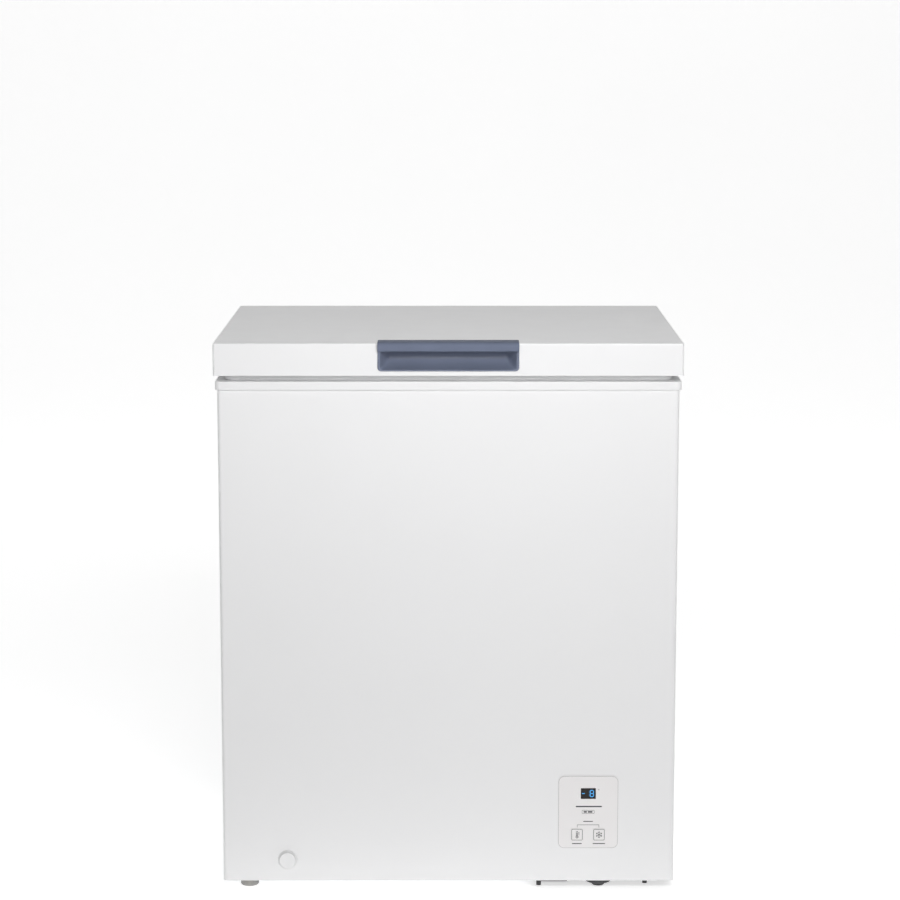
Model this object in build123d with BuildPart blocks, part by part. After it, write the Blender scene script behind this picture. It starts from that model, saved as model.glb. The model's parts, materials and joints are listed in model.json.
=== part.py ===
"""A chest freezer, piece by piece. Millimetres, +Z up, the front faces -Y.

The origin is on the floor, under the middle of the whole object's box.
"""

import os

from build123d import *

os.makedirs("parts", exist_ok=True)

# ---------------------------------------------------------------- driving dimensions
HEIGHT = 845.0  # floor to the lid's top face
BODY_WIDTH = 691.0
BODY_DEPTH = 525.0
FOOT_HEIGHT = 13.5  # floor to the cabinet's underside
SHEET = 0.8  # painted sheet steel
BODY_CORNER = 6.0  # radius of the wrapper's front corners
WALL = 58.0  # outer face of the cabinet to the inner face of the liner
LINER = 1.0  # liner sheet
LINER_CORNER = 20.0
RETURN = 15.0  # width of the wrapper's returns behind the foam

LID_HEIGHT = 49.0
LID_FRONT_OVERHANG = 5.0
LID_SIDE_OVERHANG = 5.5
LID_REAR_OVERHANG = 3.0
LID_CORNER = 4.0
LID_TOP_EDGE = 2.5
LID_RETURN = 10.0
INNER_PANEL = 1.5
PLUG_DEPTH = 12.0  # how far the lid's inner panel reaches into the cabinet
PLUG_GAP = 7.5  # plug to the liner's inner face
PLUG_STEP = 4.0  # inner panel's side wall

GASKET_GAP = 9.0  # rim to lid
GASKET_INSET = 16.0
GASKET_WIDTH = 20.0
REST_GAP = 0.3  # gasket to rim, lid shut
MAGNET_WIDTH = 8.0
MAGNET_HEIGHT = 3.0
MAGNET_LIFT = 1.5  # magnet above the gasket's underside
GASKET_CORNER = 14.0

RIM_HEIGHT = 12.5
RIM_PROUD = 3.0
RIM_REAR_PROUD = 2.0
RIM_WALL = 3.0
LEDGE = 8.0  # width of the ledge that the basket slides on
LEDGE_DROP = 10.0

MACHINE_WIDTH = 220.0  # machine compartment, from the right side's outer face
MACHINE_HEIGHT = 239.0
STEP_WALL = 57.0  # foam between the machine compartment and the liner's step

HANDLE_WIDTH = 211.0
HANDLE_HEIGHT = 42.0
HANDLE_PROUD = 7.0  # lip in front of the lid's face
HANDLE_BEZEL = 2.0
HANDLE_DEPTH = 26.0
HANDLE_LAP = 30.0  # how far the cap reaches back over the lid
HANDLE_CAP = 1.5
HANDLE_BORDER = 5.0
GRIP_DEPTH = 19.0

HINGE_SPACING = 430.0
HINGE_AXIS_BACK = 14.0  # behind the cabinet's back
HINGE_AXIS_ABOVE_RIM = 8.0
EAR_RADIUS = 8.0
KNUCKLE_RADIUS = 6.0
PIN_RADIUS = 3.0
PIN_CLEARANCE = 0.05
BRACKET = 2.0
BRACKET_WIDTH = 42.0
BRACKET_DROP = 105.0  # bracket's base below the hinge axis
CHEEK_DROP = 23.0  # top of the wide part of its cheeks below the axis
LEAF = 2.0
HINGE_SIDE_GAP = 0.5
HINGE_COVER = 1.5
HINGE_COVER_GAP = 0.2
SPRING_WIRE = 1.0
SPRING_COIL = 6.5
SPRING_TURNS = 8
PLUNGER_HEIGHT = 26.0

FOOT_RADIUS = 14.0
FOOT_INSET = 24.0  # foot centre behind the front face, or before the back
LEFT_FOOT_INSET = 38.7  # foot centre inside the cabinet's side
RIGHT_FOOT_INSET = 114.5
STUD_RADIUS = 4.0
STUD_CLEARANCE = 0.05
STUD_LENGTH = 24.0
FOOT_GAP = 0.3
FOOT_RIBS = 28
RIB_RADIUS = 0.9
PAD_RADIUS = 10.0  # right feet: a pad under a wider flange
PAD_HEIGHT = 7.0
FLANGE_RADIUS = 21.0
FLANGE_BASE = 6.5

PANEL_INSET = 131.6  # control panel centre inside the cabinet's right side
PANEL_Z = 122.5
PANEL_WIDTH = 91.6
PANEL_HEIGHT = 114.0
PANEL_CORNER = 9.0
PANEL_THICKNESS = 1.4
BOSS_WIDTH = 62.0
BOSS_HEIGHT = 97.0
BOSS_WALL = 1.6
BOSS_DEPTH = 6.0
FIT = 0.2  # all-round clearance of a fixed piece in its opening
WINDOW_WIDTH = 23.0
WINDOW_HEIGHT = 17.0
WINDOW_Z = 152.0
KEY_WIDTH = 17.5
KEY_HEIGHT = 18.0
KEY_Z = 87.0
KEY_SPACING = 33.7
KEY_TRAVEL = 0.8
KEY_PROUD = 0.6
KEY_CORNER = 2.0
BOARD_SETBACK = 14.0  # front face of the circuit board behind the shell's front
BOARD = 1.6
BOARD_WIDTH = 84.0
BOARD_HEIGHT = 108.0
BOARD_POST_INSET = 6.0
BOARD_POST_RADIUS = 3.5
BOARD_PIN_RADIUS = 1.8
BOX_WIDTH = 100.0
BOX_HEIGHT = 124.0
BOX_DEPTH = 30.0
BOX_WALL = 2.0
LEAD_RADIUS = 3.0

DRAIN_INSET = 98.8  # drain centre inside the cabinet's left side
DRAIN_Z = 46.7
DRAIN_RADIUS = 14.5
SPOUT_RADIUS = 8.0
SPOUT_BORE = 6.0
SPOUT_LENGTH = 40.0
SPOUT_CLEARANCE = 0.1
DIAL_RADIUS = 12.5
DIAL_THICKNESS = 3.2
DIAL_SEAT = 1.6  # dial's back in front of the shell
DRAIN_TUBE_GAP = 1.1  # tube to the collar's bore
DRAIN_TUBE_WALL = 2.0
DRAIN_SETBACK = 40.0  # drain hole behind the liner's front face
COLLAR_THICKNESS = 2.4
COLLAR_WALL = 3.0
COLLAR_LENGTH = 50.0  # into the foam
DIAL_CLEARANCE = 0.4
DIAL_FLOOR = 1.2  # collar left behind the dial
STOPPER_RADIUS = 12.0

COMPRESSOR_RADIUS = 75.0
COMPRESSOR_HEIGHT = 172.0
BASE_PLATE = 2.0
GROMMET_RADIUS = 12.0
GROMMET_HEIGHT = 12.0

CONDENSER_RADIUS = 2.5
CONDENSER_LEVELS = 4
EVAPORATOR_RADIUS = 4.0
EVAPORATOR_LEVELS = 4
LOOP_PITCH = 115.0
TUBE_GAP = 0.2

BASKET_WIDTH = 250.0
BASKET_HEIGHT = 175.0
BASKET_X = -135.0
BASKET_WIRE = 2.5
BASKET_FINE_WIRE = 1.5
HANGER_GAP = 1.0  # basket's rim to the ledge's riser
BASKET_INSET = 10.0  # basket's wall to the liner's face
LONG_WIRES = 7
CROSS_WIRES = 10
TAPER = 8.0

# ---------------------------------------------------------------- places worked out
half_width = BODY_WIDTH / 2
hinge_reach = HINGE_AXIS_BACK + EAR_RADIUS + HINGE_COVER
front_projection = LID_FRONT_OVERHANG + HANDLE_PROUD
overall_depth = front_projection + BODY_DEPTH + hinge_reach
front = front_projection - overall_depth / 2
back = front + BODY_DEPTH

base = FOOT_HEIGHT
lid_top = HEIGHT
lid_bottom = lid_top - LID_HEIGHT
rim_top = lid_bottom - GASKET_GAP
rim_bottom = rim_top - RIM_HEIGHT
ledge_top = rim_top - LEDGE_DROP
liner_top = ledge_top - RIM_WALL

shell_x = half_width - SHEET
shell_front = front + SHEET
foam_back = back - 2 * SHEET
foam_base = base + SHEET
inner_x = half_width - WALL
inner_front = front + WALL
inner_back = back - WALL
liner_x = inner_x + LINER
liner_front = inner_front - LINER
liner_back = inner_back + LINER
floor_z = base + WALL + LINER
machine_x = half_width - MACHINE_WIDTH
machine_top = base + MACHINE_HEIGHT
step_x = machine_x - STEP_WALL  # the liner's outer face beside the step
step_z = machine_top + STEP_WALL  # the liner's outer face over the step
riser_x = inner_x + LEDGE + RIM_WALL  # outer face of the rim's inner riser
riser_front = inner_front - LEDGE - RIM_WALL
riser_back = inner_back + LEDGE + RIM_WALL

collar_radius = SPOUT_RADIUS + COLLAR_WALL

lid_x = half_width + LID_SIDE_OVERHANG
lid_front = front - LID_FRONT_OVERHANG
lid_back = back + LID_REAR_OVERHANG
lid_middle = (lid_front + lid_back) / 2
panel_base = lid_bottom + SHEET  # underside of the lid's inner panel

axis_y = back + HINGE_AXIS_BACK
axis_z = rim_top + HINGE_AXIS_ABOVE_RIM
bracket_base = axis_z - BRACKET_DROP
cheek_x = BRACKET_WIDTH / 2 - BRACKET
knuckle_half = cheek_x - HINGE_SIDE_GAP
hinge_places = (-HINGE_SPACING / 2, HINGE_SPACING / 2)

feet_y = (front + FOOT_INSET, back - FOOT_INSET)
left_foot_x = LEFT_FOOT_INSET - half_width
right_foot_x = half_width - RIGHT_FOOT_INSET
panel_x = half_width - PANEL_INSET
drain_x = DRAIN_INSET - half_width
drain_tube_radius = SPOUT_RADIUS + SPOUT_CLEARANCE - DRAIN_TUBE_GAP
drain_tube_bore = drain_tube_radius - DRAIN_TUBE_WALL


# ---------------------------------------------------------------- drawing helpers
def block(low, high, mode=Mode.ADD):
    """A box from its lowest corner to its highest, in the part being built."""
    size = Vector(*high) - Vector(*low)
    with Locations(low):
        Box(size.X, size.Y, size.Z, align=(Align.MIN, Align.MIN, Align.MIN), mode=mode)


def rod(start, direction, radius, length, mode=Mode.ADD):
    """A round bar from a point along a direction, in the part being built."""
    with BuildSketch(Plane(origin=start, z_dir=direction)) as section:
        Circle(radius)
    extrude(section.sketch, amount=length, mode=mode)


def tube(points, radius, bend, bore=0.0):
    """A round tube along straight runs joined by arcs, in the part being built."""
    with BuildLine() as route:
        FilletPolyline(*points, radius=bend)
    with BuildSketch(Plane(origin=route.line @ 0, z_dir=route.line % 0)) as section:
        Circle(radius)
        if bore:
            Circle(bore, mode=Mode.SUBTRACT)
    sweep(section.sketch, path=route.line)


def slab_outline(half_x, low_y, high_y, front_corner):
    """A rectangle with rounded front corners, in the sketch being drawn."""
    with Locations((0, (low_y + high_y) / 2)):
        Rectangle(2 * half_x, high_y - low_y)
    fillet(vertices().group_by(Axis.Y)[0], front_corner)


def ring_outline(half_x, low_y, high_y, corner, mode=Mode.ADD):
    """A rectangle with four rounded corners, in the sketch being drawn."""
    with Locations((0, (low_y + high_y) / 2)):
        RectangleRounded(2 * half_x, high_y - low_y, corner, mode=mode)


def screw(point, direction, head_radius, head_height, shank_radius, shank_length):
    """A pan-head screw whose head stands on a point, in the part being built."""
    rod(point, direction, head_radius, head_height)
    rod(point, -Vector(*direction), shank_radius, shank_length)


# ---------------------------------------------------------------- where screws go
SCREW_HEAD = 3.6
SCREW_HEAD_HEIGHT = 1.8
SCREW_SHANK = 2.0
SCREW_LENGTH = 14.0
BRACKET_SCREW_GAP = 1.9  # screw head to the bracket's cheek
LEAF_SCREW_INSET = 7.5
bracket_screw_x = cheek_x - SCREW_HEAD - BRACKET_SCREW_GAP
lid_screw_x = knuckle_half - LEAF_SCREW_INSET
lid_screws = [
    (centre_x + offset, lid_back + LEAF, lid_top - 16.0)
    for centre_x in hinge_places
    for offset in (-lid_screw_x, lid_screw_x)
]
bracket_screws = [
    (centre_x + offset, back + BRACKET, bracket_base + rise)
    for centre_x in hinge_places
    for offset in (-bracket_screw_x, bracket_screw_x)
    for rise in (14.0, 38.0)
]

cover_left = machine_x + 14.0
cover_right = half_width - 16.0
cover_base = base + 49.0
cover_top = machine_top - 10.0
COVER_LAP = 9.0
COVER_SHEET = 1.5
cover_screws = [
    (x, back + COVER_SHEET, z)
    for x in (cover_left + COVER_LAP / 2, cover_right - COVER_LAP / 2)
    for z in (cover_base + COVER_LAP / 2, cover_top - COVER_LAP / 2)
]
gland_x = half_width - 35.5
gland_z = base + 27.0
GLAND_RADIUS = 6.5
GLAND_FLANGE = 9.0
GLAND_BORE = 3.5

# ---------------------------------------------------------------- cabinet sheet work
with BuildPart() as outer_shell:
    with BuildSketch(Plane.XY.offset(base)):
        slab_outline(half_width, front, back - SHEET, BODY_CORNER)
    extrude(amount=rim_top - RIM_WALL - base)
    with BuildSketch(Plane.XY.offset(base)):
        slab_outline(shell_x, shell_front, foam_back, BODY_CORNER - SHEET)
    extrude(amount=rim_top - RIM_WALL - base, mode=Mode.SUBTRACT)
    block(
        (RETURN - half_width, foam_back, base),
        (half_width - RETURN, back, rim_top),
        mode=Mode.SUBTRACT,
    )
    with BuildSketch(Plane.XZ.offset(-front)):
        with Locations((panel_x, PANEL_Z)):
            RectangleRounded(BOSS_WIDTH + 2 * FIT, BOSS_HEIGHT + 2 * FIT, 3)
        with Locations((drain_x, DRAIN_Z)):
            Circle(collar_radius + FIT)
    extrude(amount=-SHEET, both=True, mode=Mode.SUBTRACT)
outer_shell.part.label = "outer_shell"
export_step(outer_shell.part, "parts/outer_shell.step")

with BuildPart() as back_panel:
    block((-half_width, back - SHEET, base), (half_width, back, rim_top - RIM_WALL))
    block(
        (cover_left + COVER_LAP, back - 2, cover_base + COVER_LAP),
        (cover_right - COVER_LAP, back + 2, cover_top - COVER_LAP),
        mode=Mode.SUBTRACT,
    )
    for x, y, z in bracket_screws + cover_screws:
        rod((x, back + 1, z), (0, -1, 0), SCREW_SHANK, 3, mode=Mode.SUBTRACT)
    rod((gland_x, back + 1, gland_z), (0, -1, 0), GLAND_RADIUS, 3, mode=Mode.SUBTRACT)
back_panel.part.label = "back_panel"
export_step(back_panel.part, "parts/back_panel.step")

SOCKET_RADIUS = 8.0
SOCKET_HEIGHT = 28.0
with BuildPart() as base_panel:
    block((-shell_x, shell_front + BODY_CORNER, base), (machine_x, foam_back, foam_base))
    for y in feet_y:
        rod((left_foot_x, y, base - 1), (0, 0, 1), SOCKET_RADIUS, 3, mode=Mode.SUBTRACT)
base_panel.part.label = "base_panel"
export_step(base_panel.part, "parts/base_panel.step")

# ---------------------------------------------------------------- liner
def stepped_tub(inset, top):
    """The solid inside the liner's outer face, less an inset, up to a given height."""
    with BuildPart() as tub:
        with BuildSketch(Plane.XZ.offset(-liner_front - inset)):
            with BuildLine():
                Polyline(
                    (inset - liner_x, floor_z - LINER + inset),
                    (step_x - inset, floor_z - LINER + inset),
                    (step_x - inset, step_z + inset),
                    (liner_x - inset, step_z + inset),
                    (liner_x - inset, top),
                    (inset - liner_x, top),
                    close=True,
                )
            make_face()
        extrude(amount=-(liner_back - liner_front - 2 * inset))
        fillet(tub.edges().filter_by(Axis.Z), LINER_CORNER + LINER - inset)
    return tub.part


tub_outside = stepped_tub(0, liner_top)
tub_inside = stepped_tub(LINER, liner_top + 1)
with BuildPart() as inner_liner:
    add(tub_outside)
    add(tub_inside, mode=Mode.SUBTRACT)
    with BuildSketch(Plane.XY.offset(liner_top - LINER)):
        ring_outline(riser_x, riser_front, riser_back, LINER_CORNER)
        ring_outline(inner_x, inner_front, inner_back, LINER_CORNER, mode=Mode.SUBTRACT)
    extrude(amount=LINER)
    rod(
        (drain_x, inner_front + DRAIN_SETBACK, floor_z + 1),
        (0, 0, -1),
        drain_tube_bore,
        4,
        mode=Mode.SUBTRACT,
    )
inner_liner.part.label = "inner_liner"
export_step(inner_liner.part, "parts/inner_liner.step")

# ---------------------------------------------------------------- top frame
with BuildPart() as top_frame:
    with BuildSketch(Plane.XY.offset(rim_bottom)):
        ring_outline(half_width + RIM_PROUD, front - RIM_PROUD, back + RIM_REAR_PROUD, 8)
    extrude(amount=RIM_HEIGHT)
    fillet(top_frame.edges().group_by(Axis.Z)[-1], 1.2)
    with BuildSketch(Plane.XY.offset(rim_bottom)):
        slab_outline(half_width, front, back, BODY_CORNER)
        ring_outline(riser_x, riser_front, riser_back, LINER_CORNER + RIM_WALL, mode=Mode.SUBTRACT)
    extrude(amount=RIM_HEIGHT - RIM_WALL, mode=Mode.SUBTRACT)
    with BuildSketch(Plane.XY.offset(rim_bottom)):
        ring_outline(riser_x, riser_front, riser_back, LINER_CORNER + RIM_WALL)
    extrude(amount=liner_top - rim_bottom, mode=Mode.SUBTRACT)
    with BuildSketch(Plane.XY.offset(ledge_top)):
        ring_outline(
            inner_x + LEDGE, inner_front - LEDGE, inner_back + LEDGE, LINER_CORNER + LEDGE
        )
    extrude(amount=2 * RIM_HEIGHT, mode=Mode.SUBTRACT)
    with BuildSketch(Plane.XY.offset(rim_bottom)):
        ring_outline(inner_x, inner_front, inner_back, LINER_CORNER)
    extrude(amount=2 * RIM_HEIGHT, mode=Mode.SUBTRACT)
top_frame.part.label = "top_frame"
export_step(top_frame.part, "parts/top_frame.step")

# ---------------------------------------------------------------- cooling tubes' routes
condenser_x = shell_x - TUBE_GAP - CONDENSER_RADIUS
condenser_front = shell_front + TUBE_GAP + CONDENSER_RADIUS
condenser_back = foam_back - 46.0
return_back = condenser_back + 25.0
loop_base = step_z + 28.0
condenser_z = [loop_base + i * LOOP_PITCH for i in range(CONDENSER_LEVELS)]
PIPE_ENTRY = 10.0  # how far a tube reaches down into the machine compartment
entry_z = machine_top - PIPE_ENTRY
drier_x = condenser_x - 7.0
drier_top = machine_top - 38.0
DRIER_LENGTH = 100.0
DRIER_RADIUS = 8.0

condenser_points = [(condenser_x, condenser_back, entry_z)]
for level, z in enumerate(condenser_z):
    direction = 1 if level % 2 == 0 else -1
    condenser_points.append((direction * condenser_x, condenser_back, z))
    condenser_points.append((direction * condenser_x, condenser_front, z))
    condenser_points.append((-direction * condenser_x, condenser_front, z))
    if level < CONDENSER_LEVELS - 1:
        condenser_points.append((-direction * condenser_x, condenser_back, z))
condenser_points.append((condenser_x, return_back, condenser_z[-1]))
condenser_points.append((condenser_x, return_back, drier_top + 18))
condenser_points.append((drier_x, return_back, drier_top + 10))
condenser_points.append((drier_x, return_back, drier_top))

loop_x = liner_x + TUBE_GAP + EVAPORATOR_RADIUS
loop_front = liner_front - TUBE_GAP - EVAPORATOR_RADIUS
loop_back = liner_back + TUBE_GAP + EVAPORATOR_RADIUS
loop_corner = LINER_CORNER + LINER + TUBE_GAP + EVAPORATOR_RADIUS
riser_pipe_x = liner_x - loop_corner - 24.0
suction_x = riser_pipe_x - 24.0
evaporator_z = [loop_base + i * LOOP_PITCH for i in range(EVAPORATOR_LEVELS)]
RISER_BEND = 10.0

evaporator_points = [(riser_pipe_x, loop_back, entry_z)]
evaporator_bends = []
for level, z in enumerate(evaporator_z):
    direction = 1 if level % 2 == 0 else -1
    evaporator_points += [
        (direction * riser_pipe_x, loop_back, z),
        (direction * loop_x, loop_back, z),
        (direction * loop_x, loop_front, z),
        (-direction * loop_x, loop_front, z),
        (-direction * loop_x, loop_back, z),
    ]
    evaporator_bends += [RISER_BEND] + 4 * [loop_corner]
    if level < EVAPORATOR_LEVELS - 1:
        evaporator_points.append((-direction * riser_pipe_x, loop_back, z))
        evaporator_bends.append(RISER_BEND)
evaporator_points.append((suction_x, loop_back, evaporator_z[-1]))
evaporator_points.append((suction_x, loop_back, entry_z))
evaporator_bends.append(RISER_BEND)

PROBE_RADIUS = 3.0
PROBE_LENGTH = 40.0
probe_place = (
    liner_x + TUBE_GAP + PROBE_RADIUS,
    lid_middle - 60,
    evaporator_z[1] + LOOP_PITCH / 2 - PROBE_LENGTH / 2,
)

# ---------------------------------------------------------------- cabinet foam
with BuildPart() as foam_channels:
    rod(
        (drain_x, inner_front + DRAIN_SETBACK, DRAIN_Z - drain_tube_radius),
        (0, 0, 1),
        drain_tube_radius + FIT,
        floor_z - DRAIN_Z + drain_tube_radius,
    )
    rod(
        (drain_x, inner_front + DRAIN_SETBACK + drain_tube_radius, DRAIN_Z),
        (0, -1, 0),
        collar_radius + FIT,
        WALL + DRAIN_SETBACK + drain_tube_radius,
    )
    for y in feet_y:
        rod((left_foot_x, y, base), (0, 0, 1), SOCKET_RADIUS, SOCKET_HEIGHT)
    for x, y, z in bracket_screws:
        rod((x, back, z), (0, -1, 0), SCREW_SHANK, SCREW_LENGTH - BRACKET)

# beside the tubes the foam stands back from the liner and from the shell
liner_gap = 2 * (EVAPORATOR_RADIUS + TUBE_GAP)
shell_gap = 2 * (CONDENSER_RADIUS + TUBE_GAP)
band_x = shell_x - shell_gap
band_front = shell_front + shell_gap
tubes_x = liner_x + liner_gap
tubes_front = liner_front - liner_gap
tubes_back = liner_back + liner_gap
band_top = evaporator_z[-1] + 2 * liner_gap
foam_top = liner_top - LINER
rim_fill_top = rim_top - RIM_WALL
foam_limits = [
    ((-shell_x, shell_front, foam_base), (machine_x, liner_front, machine_top)),
    ((-shell_x, liner_back, foam_base), (machine_x, foam_back, machine_top)),
    ((-shell_x, liner_front, foam_base), (-liner_x, liner_back, machine_top)),
    ((-liner_x, liner_front, foam_base), (step_x, liner_back, floor_z - LINER)),
    ((step_x, liner_front, foam_base), (machine_x, liner_back, machine_top)),
    ((step_x, liner_front, machine_top), (liner_x, liner_back, step_z)),
    ((-band_x, band_front, machine_top), (band_x, tubes_front, band_top)),
    ((-band_x, tubes_back, machine_top), (band_x, foam_back, band_top)),
    ((-band_x, tubes_front, machine_top), (-tubes_x, tubes_back, band_top)),
    ((tubes_x, tubes_front, machine_top), (band_x, tubes_back, band_top)),
    ((-shell_x, shell_front, band_top), (shell_x, liner_front, foam_top)),
    ((-shell_x, liner_back, band_top), (shell_x, foam_back, foam_top)),
    ((-shell_x, liner_front, band_top), (-liner_x, liner_back, foam_top)),
    ((liner_x, liner_front, band_top), (shell_x, liner_back, foam_top)),
    ((-shell_x, shell_front, foam_top), (shell_x, riser_front, rim_fill_top)),
    ((-shell_x, riser_back, foam_top), (shell_x, foam_back, rim_fill_top)),
    ((-shell_x, riser_front, foam_top), (-riser_x, riser_back, rim_fill_top)),
    ((riser_x, riser_front, foam_top), (shell_x, riser_back, rim_fill_top)),
]
foam_blocks = []
for low, high in foam_limits:
    with BuildPart() as foam_block:
        block(low, high)
        front_edges = [
            edge
            for edge in foam_block.edges().filter_by(Axis.Z)
            if abs(edge.center().Y - shell_front) < 0.01 and abs(abs(edge.center().X) - shell_x) < 0.01
        ]
        if front_edges:
            fillet(front_edges, BODY_CORNER)
        add(foam_channels.part, mode=Mode.SUBTRACT)
    foam_blocks += foam_block.part.solids()
cabinet_foam = Compound(label="cabinet_foam", children=foam_blocks)
export_step(cabinet_foam, "parts/cabinet_foam.step")

# ---------------------------------------------------------------- cooling tubes
with BuildPart() as condenser_tube:
    tube(condenser_points, CONDENSER_RADIUS, 4.0)
condenser_tube.part.label = "condenser_tube"
export_step(condenser_tube.part, "parts/condenser_tube.step")

with BuildPart() as evaporator_tube:
    tube(evaporator_points, EVAPORATOR_RADIUS, evaporator_bends)
evaporator_tube.part.label = "evaporator_tube"
export_step(evaporator_tube.part, "parts/evaporator_tube.step")

with BuildPart() as temperature_probe:
    rod(probe_place, (0, 0, 1), PROBE_RADIUS, PROBE_LENGTH)
temperature_probe.part.label = "temperature_probe"
export_step(temperature_probe.part, "parts/temperature_probe.step")

# the sheet over the compressor is pierced or notched where the tubes come down
with BuildPart() as machine_compartment_panel:
    block((machine_x, shell_front, foam_base), (machine_x + SHEET, foam_back, machine_top))
    block(
        (machine_x, shell_front + BODY_CORNER, machine_top - SHEET),
        (shell_x, foam_back, machine_top),
    )
    for x in (riser_pipe_x, suction_x):
        rod(
            (x, loop_back, machine_top - 5), (0, 0, 1), EVAPORATOR_RADIUS + TUBE_GAP, 10,
            mode=Mode.SUBTRACT,
        )
    for y in (condenser_back, return_back):
        block(
            (band_x, y - shell_gap / 2, machine_top - 5),
            (shell_x + 1, y + shell_gap / 2, machine_top + 5),
            mode=Mode.SUBTRACT,
        )
machine_compartment_panel.part.label = "machine_compartment_panel"
export_step(machine_compartment_panel.part, "parts/machine_compartment_panel.step")

# ---------------------------------------------------------------- machine compartment
plate_base = base
plate_top = base + BASE_PLATE
plate_left = machine_x + 2.0
plate_right = shell_x - 0.5
BOLT_HEAD = 3.8
BOLT_RADIUS = 3.0
BOLT_LENGTH = 8.0
base_bolts = [
    (plate_left + 11.5, shell_front + 9, 9.7),
    (plate_right - 42.0, shell_front + 9, 6.4),
    (plate_left + 11.5, foam_back - 12, 6.4),
    (plate_right - 42.0, foam_back - 12, 6.4),
]
compressor_x = plate_left + 117.5
compressor_y = lid_middle + 65.0
COMPRESSOR_FOOT_X = 72.0
COMPRESSOR_FOOT_Y = 58.0
compressor_feet = [
    (compressor_x + dx, compressor_y + dy)
    for dx in (-COMPRESSOR_FOOT_X, COMPRESSOR_FOOT_X)
    for dy in (-COMPRESSOR_FOOT_Y, COMPRESSOR_FOOT_Y)
]
COMPRESSOR_BOLT = 4.0

with BuildPart() as compressor_base_plate:
    block((plate_left, shell_front + 1, plate_base), (plate_right, foam_back, plate_top))
    block((plate_left, foam_back - 2, plate_top), (plate_right, foam_back, plate_top + 12))
    block((plate_left + 9, shell_front + 1, plate_base - 2), (plate_left + 55, shell_front + 3, plate_base))
    fillet(compressor_base_plate.edges().filter_by(Axis.Z).group_by(Axis.Y)[0].sort_by(Axis.X)[-1], 5)
    for x, y, drop in base_bolts:
        rod((x, y, plate_base - 3), (0, 0, 1), BOLT_RADIUS, 9, mode=Mode.SUBTRACT)
    for x, y in compressor_feet:
        rod((x, y, plate_base - 3), (0, 0, 1), COMPRESSOR_BOLT, 9, mode=Mode.SUBTRACT)
    for y in feet_y:
        rod((right_foot_x, y, plate_base - 3), (0, 0, 1), STUD_RADIUS + STUD_CLEARANCE, 9, mode=Mode.SUBTRACT)
compressor_base_plate.part.label = "compressor_base_plate"
export_step(compressor_base_plate.part, "parts/compressor_base_plate.step")

with BuildPart() as base_plate_bolts:
    for x, y, drop in base_bolts:
        rod((x, y, plate_base), (0, 0, -1), BOLT_HEAD, drop)
        rod((x, y, plate_base), (0, 0, 1), BOLT_RADIUS, BOLT_LENGTH)
base_plate_bolts.part.label = "base_plate_bolts"
export_step(base_plate_bolts.part, "parts/base_plate_bolts.step")

can_base = plate_top + GROMMET_HEIGHT + 3
SEAM = 4.0
with BuildPart() as compressor:
    with BuildSketch(Plane.XZ):
        with BuildLine():
            Polyline(
                (0, can_base),
                (COMPRESSOR_RADIUS - 22, can_base),
                (COMPRESSOR_RADIUS, can_base + 24),
                (COMPRESSOR_RADIUS, can_base + 92),
                (COMPRESSOR_RADIUS + SEAM, can_base + 92),
                (COMPRESSOR_RADIUS + SEAM, can_base + 97),
                (COMPRESSOR_RADIUS - 2, can_base + 97),
                (COMPRESSOR_RADIUS - 2, can_base + COMPRESSOR_HEIGHT - 34),
                (COMPRESSOR_RADIUS - 26, can_base + COMPRESSOR_HEIGHT - 6),
                (COMPRESSOR_RADIUS - 50, can_base + COMPRESSOR_HEIGHT),
                (0, can_base + COMPRESSOR_HEIGHT),
                close=True,
            )
        make_face()
        fillet(vertices().group_by(Axis.Y)[1:2], 14)
    revolve(axis=Axis.Z)
compressor_can = compressor.part.moved(Location((compressor_x, compressor_y, 0)))

stub_x = compressor_x - COMPRESSOR_RADIUS - 12
suction_stub = (stub_x, compressor_y + 34, can_base + 120)
discharge_stub = (stub_x, compressor_y - 34, can_base + 80)
TERMINAL_HALF = 28.0
terminal_base = can_base + 46
fence_front = compressor_y - COMPRESSOR_RADIUS - 10
with BuildPart() as compressor:
    add(compressor_can)
    with BuildSketch(Plane.XY.offset(can_base - 3)):
        with Locations((compressor_x, compressor_y)):
            RectangleRounded(2 * COMPRESSOR_FOOT_X + 26, 2 * COMPRESSOR_FOOT_Y + 26, 13)
    extrude(amount=3)
    for x, y in compressor_feet:
        rod((x, y, can_base - 6), (0, 0, 1), COMPRESSOR_BOLT + 0.5, 12, mode=Mode.SUBTRACT)
    rod(suction_stub, (1, 0, 0), EVAPORATOR_RADIUS, 60)
    rod(discharge_stub, (1, 0, 0), CONDENSER_RADIUS, 60)
    block(
        (compressor_x - TERMINAL_HALF + 3, fence_front, terminal_base + 3),
        (compressor_x + TERMINAL_HALF - 3, compressor_y, terminal_base + 2 * TERMINAL_HALF - 3),
    )
compressor.part.label = "compressor"
export_step(compressor.part, "parts/compressor.step")

cover_front = fence_front - 26
with BuildPart() as terminal_cover:
    block(
        (compressor_x - TERMINAL_HALF, cover_front, terminal_base),
        (compressor_x + TERMINAL_HALF, fence_front + 9.5, terminal_base + 2 * TERMINAL_HALF),
    )
    fillet(terminal_cover.edges().filter_by(Axis.Y), 4)
    block(
        (compressor_x - TERMINAL_HALF + 2, cover_front + 2, terminal_base + 2),
        (compressor_x + TERMINAL_HALF - 2, fence_front + 10, terminal_base + 2 * TERMINAL_HALF - 2),
        mode=Mode.SUBTRACT,
    )
    rod(
        (compressor_x, cover_front - 1, terminal_base + 12), (0, 1, 0), 3.2, 5, mode=Mode.SUBTRACT
    )
terminal_cover.part.label = "terminal_cover"
export_step(terminal_cover.part, "parts/terminal_cover.step")

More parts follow.
